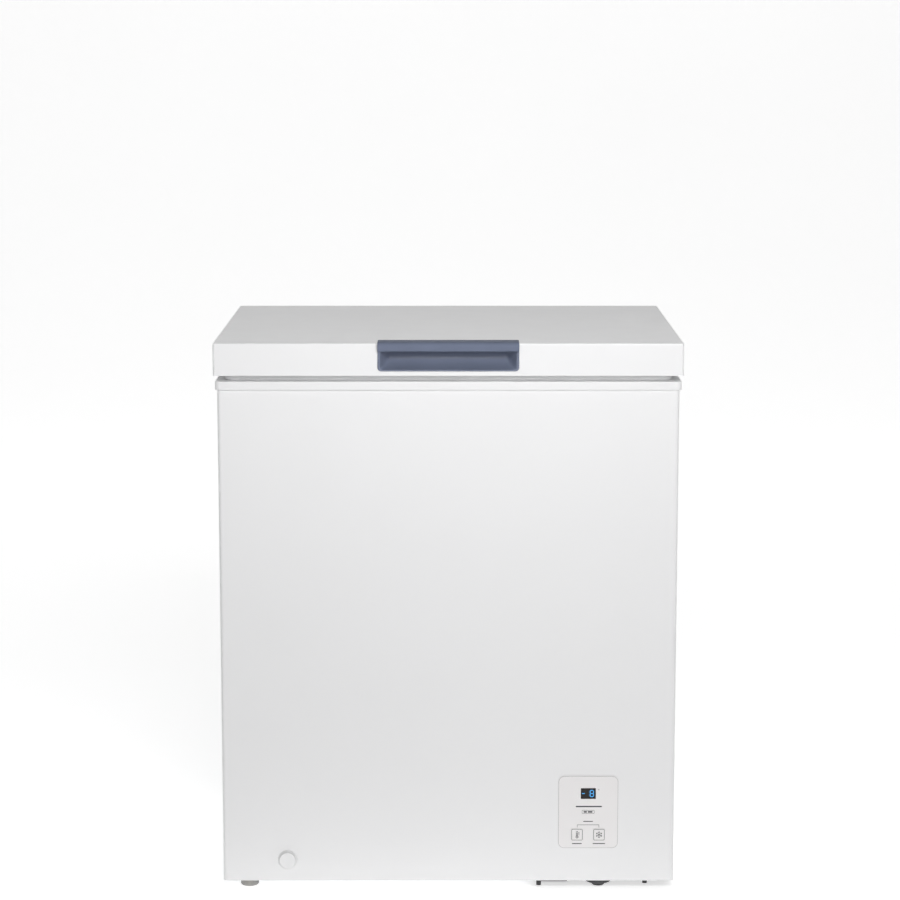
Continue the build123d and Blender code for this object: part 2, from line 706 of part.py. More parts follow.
with BuildPart() as start_relay:
    block(
        (compressor_x - 20, fence_front - 18, terminal_base + 20),
        (compressor_x + 20, fence_front, terminal_base + 2 * TERMINAL_HALF - 8),
    )
    fillet(start_relay.edges().filter_by(Axis.Y), 3)
start_relay.part.label = "start_relay"
export_step(start_relay.part, "parts/start_relay.step")

with BuildPart() as compressor_grommets:
    for x, y in compressor_feet:
        rod((x, y, plate_top), (0, 0, 1), GROMMET_RADIUS, GROMMET_HEIGHT)
        rod((x, y, plate_top), (0, 0, 1), COMPRESSOR_BOLT, GROMMET_HEIGHT, mode=Mode.SUBTRACT)
compressor_grommets.part.label = "compressor_grommets"
export_step(compressor_grommets.part, "parts/compressor_grommets.step")

with BuildPart() as compressor_bolts:
    for x, y in compressor_feet:
        rod((x, y, plate_base - 2), (0, 0, 1), COMPRESSOR_BOLT + 3, 2)
        rod((x, y, plate_base), (0, 0, 1), COMPRESSOR_BOLT, BASE_PLATE + GROMMET_HEIGHT + 10)
        with BuildSketch(Plane.XY.offset(can_base)):
            with Locations((x, y)):
                RegularPolygon(7.5, 6)
        extrude(amount=5)
compressor_bolts.part.label = "compressor_bolts"
export_step(compressor_bolts.part, "parts/compressor_bolts.step")

with BuildPart() as filter_drier:
    rod((drier_x, return_back, drier_top - DRIER_LENGTH), (0, 0, 1), DRIER_RADIUS, DRIER_LENGTH)
    chamfer(filter_drier.edges().filter_by(GeomType.CIRCLE), 3)
filter_drier.part.label = "filter_drier"
export_step(filter_drier.part, "parts/filter_drier.step")

CAPILLARY_RADIUS = 1.2
drier_base = drier_top - DRIER_LENGTH
with BuildPart() as capillary_tube:
    tube(
        [
            (drier_x, return_back, drier_base),
            (drier_x, return_back, drier_base - 24),
            (riser_pipe_x + 24, return_back, drier_base - 24),
            (riser_pipe_x + 24, return_back, entry_z - 30),
            (riser_pipe_x, loop_back, entry_z - 18),
            (riser_pipe_x, loop_back, entry_z),
        ],
        CAPILLARY_RADIUS,
        8.0,
    )
capillary_tube.part.label = "capillary_tube"
export_step(capillary_tube.part, "parts/capillary_tube.step")

with BuildPart() as suction_tube:
    tube(
        [
            (suction_x, loop_back, entry_z),
            (suction_x, loop_back, machine_top - 32),
            (stub_x - 16, loop_back, machine_top - 32),
            (stub_x - 16, suction_stub[1], suction_stub[2]),
            suction_stub,
        ],
        EVAPORATOR_RADIUS,
        9.0,
    )
suction_tube.part.label = "suction_tube"
export_step(suction_tube.part, "parts/suction_tube.step")

discharge_z = machine_top - 21.0
with BuildPart() as discharge_tube:
    tube(
        [
            discharge_stub,
            (stub_x - 12, discharge_stub[1], discharge_stub[2]),
            (stub_x - 12, discharge_stub[1], discharge_z),
            (condenser_x, discharge_stub[1], discharge_z),
            (condenser_x, condenser_back, discharge_z),
            (condenser_x, condenser_back, entry_z),
        ],
        CONDENSER_RADIUS,
        9.0,
    )
discharge_tube.part.label = "discharge_tube"
export_step(discharge_tube.part, "parts/discharge_tube.step")

# ---------------------------------------------------------------- rear cover and leads
SLOT_PITCH = 14.0
with BuildPart() as rear_cover:
    block((cover_left, back, cover_base), (cover_right, back + COVER_SHEET, cover_top))
    fillet(rear_cover.edges().filter_by(Axis.Y), 4)
    slot_width = cover_right - cover_left - 4 * COVER_LAP
    slots_high = int((cover_top - cover_base - 4 * COVER_LAP) / SLOT_PITCH)
    with BuildSketch(Plane.XZ.offset(-back - COVER_SHEET)):
        with Locations(((cover_left + cover_right) / 2, (cover_base + cover_top) / 2)):
            with GridLocations(slot_width / 2 + 4, SLOT_PITCH, 2, slots_high):
                SlotOverall(slot_width / 2 - 4, 5)
    extrude(amount=COVER_SHEET, mode=Mode.SUBTRACT)
    for x, y, z in cover_screws:
        rod((x, y + 1, z), (0, -1, 0), SCREW_SHANK, 4, mode=Mode.SUBTRACT)
rear_cover.part.label = "rear_cover"
export_step(rear_cover.part, "parts/rear_cover.step")

with BuildPart() as rear_cover_screws:
    for place in cover_screws:
        screw(place, (0, 1, 0), SCREW_HEAD, SCREW_HEAD_HEIGHT, SCREW_SHANK, 8.0)
rear_cover_screws.part.label = "rear_cover_screws"
export_step(rear_cover_screws.part, "parts/rear_cover_screws.step")

GLAND_LENGTH = 14.0
with BuildPart() as cord_gland:
    rod((gland_x, back - GLAND_LENGTH, gland_z), (0, 1, 0), GLAND_RADIUS, GLAND_LENGTH)
    rod((gland_x, back, gland_z), (0, 1, 0), GLAND_FLANGE, 3)
    fillet(cord_gland.edges().group_by(Axis.Y)[-1], 1.5)
    rod((gland_x, back - GLAND_LENGTH - 1, gland_z), (0, 1, 0), GLAND_BORE, 20, mode=Mode.SUBTRACT)
cord_gland.part.label = "cord_gland"
export_step(cord_gland.part, "parts/cord_gland.step")

box_left = panel_x - BOX_WIDTH / 2
box_right = panel_x + BOX_WIDTH / 2
box_base = PANEL_Z - BOX_HEIGHT / 2
box_top = PANEL_Z + BOX_HEIGHT / 2
box_back = shell_front + BOX_DEPTH
lead_x = plate_right - 7.0
with BuildPart() as mains_lead:
    tube(
        [
            (gland_x, back - GLAND_LENGTH, gland_z),
            (gland_x, back - 45, gland_z),
            (lead_x, back - 80, gland_z - 6),
            (lead_x, box_back + 55, gland_z - 6),
            (lead_x - 12, box_back + 15, box_base + 6),
            (box_right + 14, box_back - 14, box_base + 24),
            (box_right, box_back - 14, box_base + 24),
        ],
        LEAD_RADIUS,
        6.0,
    )
mains_lead.part.label = "mains_lead"
export_step(mains_lead.part, "parts/mains_lead.step")

with BuildPart() as control_lead:
    tube(
        [
            (panel_x, box_back, box_base + 26),
            (panel_x, box_back + 22, box_base + 26),
            (panel_x, box_back + 60, box_base + 14),
            (compressor_x, cover_front - 55, terminal_base + 4),
            (compressor_x, cover_front - 20, terminal_base + 12),
            (compressor_x, cover_front + 2, terminal_base + 12),
        ],
        LEAD_RADIUS,
        9.0,
    )
control_lead.part.label = "control_lead"
export_step(control_lead.part, "parts/control_lead.step")

# ---------------------------------------------------------------- control panel
keys = [("temp_set_button", panel_x - KEY_SPACING / 2), ("super_freeze_button", panel_x + KEY_SPACING / 2)]
panel_front = front - PANEL_THICKNESS
board_front = shell_front + BOARD_SETBACK
FLANGE = 1.0

with BuildPart() as control_bezel:
    with BuildSketch(Plane.XZ.offset(-front)):
        with Locations((panel_x, PANEL_Z)):
            RectangleRounded(PANEL_WIDTH, PANEL_HEIGHT, PANEL_CORNER)
    extrude(amount=PANEL_THICKNESS)
    fillet(control_bezel.edges().group_by(Axis.Y)[0], 0.5)
    with BuildSketch(Plane.XZ.offset(-front)):
        with Locations((panel_x, PANEL_Z)):
            RectangleRounded(BOSS_WIDTH, BOSS_HEIGHT, 3)
            RectangleRounded(BOSS_WIDTH - 2 * BOSS_WALL, BOSS_HEIGHT - 2 * BOSS_WALL, 2, mode=Mode.SUBTRACT)
    extrude(amount=-BOSS_DEPTH)
    with BuildSketch(Plane.XZ.offset(-front)):
        with Locations((panel_x, WINDOW_Z)):
            RectangleRounded(WINDOW_WIDTH, WINDOW_HEIGHT, 1)
        for name, x in keys:
            with Locations((x, KEY_Z)):
                RectangleRounded(KEY_WIDTH + 2 * FIT, KEY_HEIGHT + 2 * FIT, KEY_CORNER + FIT)
    extrude(amount=2 * PANEL_THICKNESS, mode=Mode.SUBTRACT)
control_bezel.part.label = "control_bezel"
export_step(control_bezel.part, "parts/control_bezel.step")

with BuildPart() as display_window:
    with BuildSketch(Plane.XZ.offset(-front)):
        with Locations((panel_x, WINDOW_Z)):
            RectangleRounded(WINDOW_WIDTH, WINDOW_HEIGHT, 1)
    extrude(amount=PANEL_THICKNESS - 0.2)
display_window.part.label = "display_window"
export_step(display_window.part, "parts/display_window.step")

with BuildPart() as display_module:
    block(
        (panel_x - WINDOW_WIDTH / 2 - 1, front, WINDOW_Z - WINDOW_HEIGHT / 2 - 1),
        (panel_x + WINDOW_WIDTH / 2 + 1, board_front, WINDOW_Z + WINDOW_HEIGHT / 2 + 1),
    )
display_module.part.label = "display_module"
export_step(display_module.part, "parts/display_module.step")

SWITCH = 4.0
stem_end = board_front - SWITCH - KEY_TRAVEL - FIT
for name, x in keys:
    with BuildPart() as key:
        with BuildSketch(Plane.XZ.offset(-panel_front + KEY_PROUD)):
            with Locations((x, KEY_Z)):
                RectangleRounded(KEY_WIDTH, KEY_HEIGHT, KEY_CORNER)
        extrude(amount=-(PANEL_THICKNESS + KEY_PROUD + FIT + FLANGE))
        fillet(key.edges().group_by(Axis.Y)[0], 0.4)
        block(
            (x - KEY_WIDTH / 2 - 1, front + FIT, KEY_Z - KEY_HEIGHT / 2 - 1),
            (x + KEY_WIDTH / 2 + 1, front + FIT + FLANGE, KEY_Z + KEY_HEIGHT / 2 + 1),
        )
        rod((x, front, KEY_Z), (0, 1, 0), 2.5, stem_end - front)
    key.part.label = name
    export_step(key.part, f"parts/{name}.step")

with BuildPart() as key_switches:
    for name, x in keys:
        block((x - 3, board_front - SWITCH, KEY_Z - 3), (x + 3, board_front, KEY_Z + 3))
key_switches.part.label = "key_switches"
export_step(key_switches.part, "parts/key_switches.step")

post_x = BOARD_WIDTH / 2 - BOARD_POST_INSET
post_z = BOARD_HEIGHT / 2 - BOARD_POST_INSET
board_posts = [
    (panel_x + dx, PANEL_Z + dz) for dx in (-post_x, post_x) for dz in (-post_z, post_z)
]
with BuildPart() as circuit_board:
    block(
        (panel_x - BOARD_WIDTH / 2, board_front, PANEL_Z - BOARD_HEIGHT / 2),
        (panel_x + BOARD_WIDTH / 2, board_front + BOARD, PANEL_Z + BOARD_HEIGHT / 2),
    )
    for x, z in board_posts:
        rod((x, board_front - 1, z), (0, 1, 0), BOARD_PIN_RADIUS, 5, mode=Mode.SUBTRACT)
circuit_board.part.label = "circuit_board"
export_step(circuit_board.part, "parts/circuit_board.step")

with BuildPart() as control_box:
    block((box_left, shell_front, box_base), (box_right, box_back, box_top))
    fillet(control_box.edges().filter_by(Axis.Y), 4)
    block(
        (box_left + BOX_WALL, shell_front - 1, box_base + BOX_WALL),
        (box_right - BOX_WALL, box_back - BOX_WALL, box_top - BOX_WALL),
        mode=Mode.SUBTRACT,
    )
    for x, z in board_posts:
        rod(
            (x, board_front + BOARD, z), (0, 1, 0), BOARD_POST_RADIUS, box_back - board_front - BOARD
        )
        rod((x, board_front, z), (0, 1, 0), BOARD_PIN_RADIUS, BOARD + 1)
control_box.part.label = "control_box"
export_step(control_box.part, "parts/control_box.step")

# ---------------------------------------------------------------- drain
drain_hole_y = inner_front + DRAIN_SETBACK
with BuildPart() as drain_collar:
    rod((drain_x, front, DRAIN_Z), (0, -1, 0), DRAIN_RADIUS, COLLAR_THICKNESS)
    fillet(drain_collar.edges().group_by(Axis.Y)[0], 1.2)
    rod((drain_x, front, DRAIN_Z), (0, 1, 0), collar_radius, COLLAR_LENGTH)
    with BuildSketch(Plane.XZ.offset(-front)):
        with Locations((drain_x, DRAIN_Z)):
            Circle(SPOUT_RADIUS + SPOUT_CLEARANCE)
    extrude(amount=COLLAR_LENGTH, both=True, mode=Mode.SUBTRACT)
    with BuildSketch(Plane.XZ.offset(DIAL_FLOOR - front)):
        with Locations((drain_x, DRAIN_Z)):
            Circle(DIAL_RADIUS + DIAL_CLEARANCE)
    extrude(amount=COLLAR_THICKNESS, mode=Mode.SUBTRACT)
drain_collar.part.label = "drain_collar"
export_step(drain_collar.part, "parts/drain_collar.step")

with BuildPart() as drain_spout:
    rod((drain_x, front - 1.0, DRAIN_Z), (0, 1, 0), SPOUT_RADIUS, SPOUT_LENGTH + 1.0)
    rod((drain_x, front - 2.0, DRAIN_Z), (0, 1, 0), SPOUT_BORE, SPOUT_LENGTH + 4.0, mode=Mode.SUBTRACT)
drain_spout.part.label = "drain_spout"
export_step(drain_spout.part, "parts/drain_spout.step")

with BuildPart() as drain_dial:
    rod((drain_x, front - DIAL_SEAT, DRAIN_Z), (0, -1, 0), DIAL_RADIUS, DIAL_THICKNESS)
    fillet(drain_dial.edges().group_by(Axis.Y)[0], 1.0)
    rod((drain_x, front - DIAL_SEAT, DRAIN_Z), (0, 1, 0), SPOUT_BORE - PIN_CLEARANCE, 9)
    with Locations((drain_x, front - DIAL_SEAT - DIAL_THICKNESS, DRAIN_Z - DIAL_RADIUS + 2.5)):
        Box(1.6, 0.8, 4, mode=Mode.SUBTRACT)
    rod((drain_x, front - 1.0, DRAIN_Z), (0, 1, 0), SPOUT_BORE - 2, 12, mode=Mode.SUBTRACT)
drain_dial.part.label = "drain_dial"
export_step(drain_dial.part, "parts/drain_dial.step")

with BuildPart() as drain_tube:
    tube(
        [
            (drain_x, drain_hole_y, floor_z - LINER),
            (drain_x, drain_hole_y, DRAIN_Z),
            (drain_x, front + COLLAR_LENGTH, DRAIN_Z),
        ],
        drain_tube_radius,
        12.0,
        bore=drain_tube_bore,
    )
drain_tube.part.label = "drain_tube"
export_step(drain_tube.part, "parts/drain_tube.step")

with BuildPart() as drain_stopper:
    rod((drain_x, drain_hole_y, floor_z), (0, 0, 1), STOPPER_RADIUS, 3)
    fillet(drain_stopper.edges().group_by(Axis.Z)[-1], 1.2)
    rod((drain_x, drain_hole_y, floor_z), (0, 0, -1), drain_tube_bore - PIN_CLEARANCE, 8)
    block((drain_x - 7, drain_hole_y - 1.5, floor_z + 3), (drain_x + 7, drain_hole_y + 1.5, floor_z + 12))
drain_stopper.part.label = "drain_stopper"
export_step(drain_stopper.part, "parts/drain_stopper.step")

# ---------------------------------------------------------------- feet
for row, y in zip(("front", "rear"), feet_y):
    with BuildPart() as left_foot:
        rod((left_foot_x, y, 0), (0, 0, 1), FOOT_RADIUS, base - FOOT_GAP)
        fillet(left_foot.edges().group_by(Axis.Z)[0], 3.5)
        with BuildSketch(Plane.XY.offset(3.5)):
            with Locations((left_foot_x, y)):
                with PolarLocations(FOOT_RADIUS + 0.5, FOOT_RIBS):
                    Circle(RIB_RADIUS)
        extrude(amount=base - 4.5, mode=Mode.SUBTRACT)
        rod((left_foot_x, y, 1), (0, 0, 1), STUD_RADIUS, base + STUD_LENGTH)
    left_foot.part.label = f"{row}_left_foot"
    export_step(left_foot.part, f"parts/{row}_left_foot.step")

    with BuildPart() as right_foot:
        rod(
            (right_foot_x, y, FLANGE_BASE), (0, 0, 1), FLANGE_RADIUS, base - FLANGE_BASE - FOOT_GAP
        )
        fillet(right_foot.edges().group_by(Axis.Z)[0], 3)
        rod((right_foot_x, y, 0), (0, 0, 1), PAD_RADIUS, PAD_HEIGHT)
        fillet(right_foot.edges().group_by(Axis.Z)[0], 2.5)
        rod((right_foot_x, y, 1), (0, 0, 1), STUD_RADIUS, base + 16)
    right_foot.part.label = f"{row}_right_foot"
    export_step(right_foot.part, f"parts/{row}_right_foot.step")

with BuildPart() as foot_nuts:
    for y in feet_y:
        rod((left_foot_x, y, base), (0, 0, 1), SOCKET_RADIUS, SOCKET_HEIGHT)
        rod(
            (left_foot_x, y, base - 1), (0, 0, 1), STUD_RADIUS + STUD_CLEARANCE, SOCKET_HEIGHT - 1,
            mode=Mode.SUBTRACT,
        )
        with BuildSketch(Plane.XY.offset(plate_top)):
            with Locations((right_foot_x, y)):
                RegularPolygon(8, 6)
                Circle(STUD_RADIUS + STUD_CLEARANCE, mode=Mode.SUBTRACT)
        extrude(amount=7)
foot_nuts.part.label = "foot_nuts"
export_step(foot_nuts.part, "parts/foot_nuts.step")

# ---------------------------------------------------------------- lid
handle_x = HANDLE_WIDTH / 2 - HANDLE_BEZEL
cut_base = lid_top - HANDLE_HEIGHT + HANDLE_BEZEL
cut_back = lid_front + HANDLE_DEPTH
with BuildPart() as lid_skin:
    with BuildSketch(Plane.XY.offset(lid_bottom)):
        ring_outline(lid_x, lid_front, lid_back, LID_CORNER)
    extrude(amount=LID_HEIGHT)
    fillet(lid_skin.edges().group_by(Axis.Z)[-1], LID_TOP_EDGE)
    with BuildSketch(Plane.XY.offset(lid_bottom + SHEET)):
        ring_outline(lid_x - SHEET, lid_front + SHEET, lid_back - SHEET, LID_CORNER - SHEET)
    extrude(amount=LID_HEIGHT - 2 * SHEET, mode=Mode.SUBTRACT)
    block(
        (LID_RETURN - lid_x, lid_front + LID_RETURN, lid_bottom - 1),
        (lid_x - LID_RETURN, lid_back - LID_RETURN, lid_bottom + 2),
        mode=Mode.SUBTRACT,
    )
    block((-handle_x, lid_front - 1, cut_base), (handle_x, cut_back, lid_top + 1), mode=Mode.SUBTRACT)
    for x, y, z in lid_screws:
        rod((x, y, z), (0, -1, 0), SCREW_SHANK, 6, mode=Mode.SUBTRACT)
lid_skin.part.label = "lid_skin"
export_step(lid_skin.part, "parts/lid_skin.step")

plug_x = inner_x - PLUG_GAP
plug_front = inner_front + PLUG_GAP
plug_back = inner_back - PLUG_GAP
plug_base = panel_base - PLUG_DEPTH
with BuildPart() as lid_inner_panel:
    with BuildSketch(Plane.XY.offset(panel_base)):
        ring_outline(lid_x - SHEET, lid_front + SHEET, lid_back - SHEET, LID_CORNER - SHEET)
    extrude(amount=INNER_PANEL)
    with BuildSketch(Plane.XY.offset(plug_base)):
        ring_outline(plug_x, plug_front, plug_back, LINER_CORNER)
    extrude(amount=PLUG_DEPTH)
    fillet(lid_inner_panel.edges().group_by(Axis.Z)[0], 4)
    with BuildSketch(Plane.XY.offset(plug_base + INNER_PANEL)):
        ring_outline(
            plug_x - PLUG_STEP, plug_front + PLUG_STEP, plug_back - PLUG_STEP, LINER_CORNER - PLUG_STEP
        )
    extrude(amount=PLUG_DEPTH + INNER_PANEL, mode=Mode.SUBTRACT)
lid_inner_panel.part.label = "lid_inner_panel"
export_step(lid_inner_panel.part, "parts/lid_inner_panel.step")

with BuildPart() as lid_foam:
    with BuildSketch(Plane.XY.offset(panel_base + INNER_PANEL)):
        ring_outline(lid_x - SHEET, lid_front + SHEET, lid_back - SHEET, LID_CORNER - SHEET)
    extrude(amount=LID_HEIGHT - 2 * SHEET - INNER_PANEL)
    with BuildSketch(Plane.XY.offset(plug_base + INNER_PANEL)):
        ring_outline(
            plug_x - PLUG_STEP, plug_front + PLUG_STEP, plug_back - PLUG_STEP, LINER_CORNER - PLUG_STEP
        )
    extrude(amount=PLUG_DEPTH)
    block((-handle_x, lid_front - 1, cut_base), (handle_x, cut_back, lid_top + 1), mode=Mode.SUBTRACT)
    for x, y, z in lid_screws:
        rod((x, y, z), (0, -1, 0), SCREW_SHANK, SCREW_LENGTH, mode=Mode.SUBTRACT)
lid_foam.part.label = "lid_foam"
export_step(lid_foam.part, "parts/lid_foam.step")

gasket_base = rim_top + REST_GAP
slot_inset = (GASKET_WIDTH - MAGNET_WIDTH) / 2
gasket_low = lid_front + GASKET_INSET
gasket_high = lid_back - GASKET_INSET
gasket_x = lid_x - GASKET_INSET
magnet_base = gasket_base + MAGNET_LIFT
magnet_limits = []
for x in (slot_inset - gasket_x, gasket_x - slot_inset - MAGNET_WIDTH):
    magnet_limits.append(
        (
            (x, gasket_low + slot_inset + GASKET_CORNER, magnet_base),
            (x + MAGNET_WIDTH, gasket_high - slot_inset - GASKET_CORNER, magnet_base + MAGNET_HEIGHT),
        )
    )
for y in (gasket_low + slot_inset, gasket_high - slot_inset - MAGNET_WIDTH):
    magnet_limits.append(
        (
            (slot_inset + GASKET_CORNER - gasket_x, y, magnet_base),
            (gasket_x - slot_inset - GASKET_CORNER, y + MAGNET_WIDTH, magnet_base + MAGNET_HEIGHT),
        )
    )

with BuildPart() as lid_gasket:
    with BuildSketch(Plane.XY.offset(gasket_base)):
        ring_outline(gasket_x, gasket_low, gasket_high, GASKET_CORNER)
    extrude(amount=panel_base - gasket_base)
    fillet(lid_gasket.edges().group_by(Axis.Z)[0], 2.4)
    with BuildSketch(Plane.XY.offset(gasket_base - 1)):
        ring_outline(
            gasket_x - GASKET_WIDTH, gasket_low + GASKET_WIDTH, gasket_high - GASKET_WIDTH, 6
        )
    extrude(amount=GASKET_GAP + 3, mode=Mode.SUBTRACT)
    for low, high in magnet_limits:
        block(low, (high[0], high[1], panel_base), mode=Mode.SUBTRACT)
lid_gasket.part.label = "lid_gasket"
export_step(lid_gasket.part, "parts/lid_gasket.step")

with BuildPart() as gasket_magnets:
    for low, high in magnet_limits:
        block(low, high)
gasket_magnets.part.label = "gasket_magnets"
export_step(gasket_magnets.part, "parts/gasket_magnets.step")

# ---------------------------------------------------------------- lid handle
handle_base = lid_top - HANDLE_HEIGHT
handle_top = lid_top + HANDLE_CAP
lip_front = lid_front - HANDLE_PROUD
bezel_front = lid_front - HANDLE_BEZEL
LIP_DROP = 12.0
with BuildPart() as lid_handle:
    block((FIT - handle_x, lid_front, cut_base + FIT), (handle_x - FIT, cut_back - FIT, lid_top))
    with BuildSketch(Plane.XZ.offset(-lid_front)):
        with Locations((0, (handle_base + handle_top) / 2)):
            Rectangle(HANDLE_WIDTH, handle_top - handle_base)
        fillet(vertices().group_by(Axis.Y)[0], 5.5)
    extrude(amount=HANDLE_BEZEL)
    with BuildSketch(Plane.YZ.offset(-HANDLE_WIDTH / 2)):
        with BuildLine():
            Polyline(
                (lid_front, lid_top - LIP_DROP),
                (lip_front + 1.5, lid_top - LIP_DROP),
                (lip_front, lid_top - LIP_DROP + 1.5),
                (lip_front, lid_top - 3),
            )
            TangentArc((lip_front + 5.5, handle_top), (lip_front, lid_top - 3), tangent=(-1, 0))
            Polyline(
                (lip_front + 5.5, handle_top),
                (lid_front + HANDLE_LAP, handle_top),
                (lid_front + HANDLE_LAP, lid_top),
                (lid_front, lid_top),
                (lid_front, lid_top - LIP_DROP),
            )
        make_face()
    extrude(amount=HANDLE_WIDTH)
    with BuildSketch(Plane.YZ.offset(HANDLE_BORDER - HANDLE_WIDTH / 2)):
        with BuildLine():
            Polyline(
                (lip_front - 1, lid_top - LIP_DROP),
                (bezel_front + 2.4, lid_top - LIP_DROP),
                (bezel_front + 2.4, lid_top - 6),
                (lid_front + 12, lid_top - 6),
            )
            ThreePointArc(
                (lid_front + 12, lid_top - 6),
                (lid_front + GRIP_DEPTH, lid_top - 17),
                (bezel_front - 0.1, handle_base + 3),
            )
            Polyline(
                (bezel_front - 0.1, handle_base + 3),
                (lip_front - 1, handle_base + 3),
                (lip_front - 1, lid_top - LIP_DROP),
            )
        make_face()
    extrude(amount=HANDLE_WIDTH - 2 * HANDLE_BORDER, mode=Mode.SUBTRACT)
lid_handle.part.label = "lid_handle"
export_step(lid_handle.part, "parts/lid_handle.step")

# ---------------------------------------------------------------- hinges
plunger_top = axis_z - KNUCKLE_RADIUS - FOOT_GAP
plunger_base = plunger_top - PLUNGER_HEIGHT
cheek_top = axis_z - CHEEK_DROP
with BuildPart() as hinge_brackets:
    for centre_x in hinge_places:
        block(
            (centre_x - BRACKET_WIDTH / 2, back, bracket_base),
            (centre_x + BRACKET_WIDTH / 2, back + BRACKET, rim_bottom),
        )
        block(
            (centre_x - cheek_x, back + BRACKET, bracket_base),
            (centre_x + cheek_x, axis_y + EAR_RADIUS, bracket_base + BRACKET),
        )
        for x in (centre_x - BRACKET_WIDTH / 2, centre_x + cheek_x):
            with BuildSketch(Plane.YZ.offset(x)):
                with BuildLine():
                    Polyline(
                        (back + BRACKET, bracket_base),
                        (axis_y + EAR_RADIUS, bracket_base),
                        (axis_y + EAR_RADIUS, axis_z),
                        (axis_y - EAR_RADIUS, axis_z),
                        (axis_y - EAR_RADIUS, cheek_top),
                        (back + BRACKET, cheek_top),
                        close=True,
                    )
                make_face()
                with Locations((axis_y, axis_z)):
                    Circle(EAR_RADIUS)
            extrude(amount=BRACKET)
        rod(
            (centre_x - BRACKET_WIDTH, axis_y, axis_z), (1, 0, 0), PIN_RADIUS, 2 * BRACKET_WIDTH,
            mode=Mode.SUBTRACT,
        )
    for x, y, z in bracket_screws:
        rod((x, y + 1, z), (0, -1, 0), SCREW_SHANK, 4, mode=Mode.SUBTRACT)
hinge_brackets.part.label = "hinge_brackets"
export_step(hinge_brackets.part, "parts/hinge_brackets.step")

with BuildPart() as hinge_leaves:
    for centre_x in hinge_places:
        with BuildSketch(Plane.YZ.offset(centre_x - knuckle_half)):
            with BuildLine():
                Polyline(
                    (lid_back, axis_z + 1),
                    (axis_y, axis_z + 1),
                    (axis_y, axis_z + KNUCKLE_RADIUS),
                    (lid_back + LEAF, axis_z + KNUCKLE_RADIUS + 4),
                    (lid_back + LEAF, lid_top - 6),
                    (lid_back, lid_top - 6),
                    close=True,
                )
            make_face()
            with Locations((axis_y, axis_z)):
                Circle(KNUCKLE_RADIUS)
        extrude(amount=2 * knuckle_half)
        rod(
            (centre_x - BRACKET_WIDTH, axis_y, axis_z), (1, 0, 0), PIN_RADIUS + PIN_CLEARANCE,
            2 * BRACKET_WIDTH, mode=Mode.SUBTRACT,
        )
    for x, y, z in lid_screws:
        rod((x, y + 1, z), (0, -1, 0), SCREW_SHANK, 6, mode=Mode.SUBTRACT)
hinge_leaves.part.label = "hinge_leaves"
export_step(hinge_leaves.part, "parts/hinge_leaves.step")

with BuildPart() as hinge_pins:
    for centre_x in hinge_places:
        rod((centre_x - BRACKET_WIDTH / 2, axis_y, axis_z), (1, 0, 0), PIN_RADIUS, BRACKET_WIDTH)
hinge_pins.part.label = "hinge_pins"
export_step(hinge_pins.part, "parts/hinge_pins.step")

with BuildPart() as hinge_plungers:
    for centre_x in hinge_places:
        block(
            (centre_x - knuckle_half + 1, axis_y - 6, plunger_base),
            (centre_x + knuckle_half - 1, axis_y + 6, plunger_top),
        )
    fillet(hinge_plungers.edges().filter_by(Axis.Z), 2)
hinge_plungers.part.label = "hinge_plungers"
export_step(hinge_plungers.part, "parts/hinge_plungers.step")

spring_base = bracket_base + BRACKET + SPRING_WIRE + TUBE_GAP
spring_rise = plunger_base - SPRING_WIRE - TUBE_GAP - spring_base
with BuildPart() as hinge_springs:
    for centre_x in hinge_places:
        coil = Helix(
            pitch=spring_rise / SPRING_TURNS,
            height=spring_rise,
            radius=SPRING_COIL,
            center=(centre_x, axis_y, spring_base),
            mode=Mode.PRIVATE,
        )
        with BuildSketch(Plane(origin=coil @ 0, z_dir=coil % 0)):
            Circle(SPRING_WIRE)
        sweep(path=coil, is_frenet=True)
hinge_springs.part.label = "hinge_springs"
export_step(hinge_springs.part, "parts/hinge_springs.step")

with BuildPart() as hinge_covers:
    outside = BRACKET_WIDTH / 2 + HINGE_COVER_GAP + HINGE_COVER
    for centre_x in hinge_places:
        block(
            (centre_x - outside, back, bracket_base - HINGE_COVER),
            (centre_x + outside, axis_y + EAR_RADIUS + HINGE_COVER, rim_bottom - 3),
        )
    fillet(hinge_covers.edges().filter_by(Axis.Z).group_by(Axis.Y)[-1], 1.2)
    for centre_x in hinge_places:
        block(
            (centre_x - outside + HINGE_COVER, back - 1, bracket_base),
            (centre_x + outside - HINGE_COVER, axis_y + EAR_RADIUS, rim_top),
            mode=Mode.SUBTRACT,
        )
hinge_covers.part.label = "hinge_covers"
export_step(hinge_covers.part, "parts/hinge_covers.step")

with BuildPart() as lid_hinge_screws:
    for place in lid_screws:
        screw(place, (0, 1, 0), SCREW_HEAD, SCREW_HEAD_HEIGHT, SCREW_SHANK, SCREW_LENGTH)
lid_hinge_screws.part.label = "lid_hinge_screws"
export_step(lid_hinge_screws.part, "parts/lid_hinge_screws.step")

with BuildPart() as bracket_hinge_screws:
    for place in bracket_screws:
        screw(place, (0, 1, 0), SCREW_HEAD, SCREW_HEAD_HEIGHT, SCREW_SHANK, SCREW_LENGTH)
bracket_hinge_screws.part.label = "bracket_hinge_screws"
export_step(bracket_hinge_screws.part, "parts/bracket_hinge_screws.step")

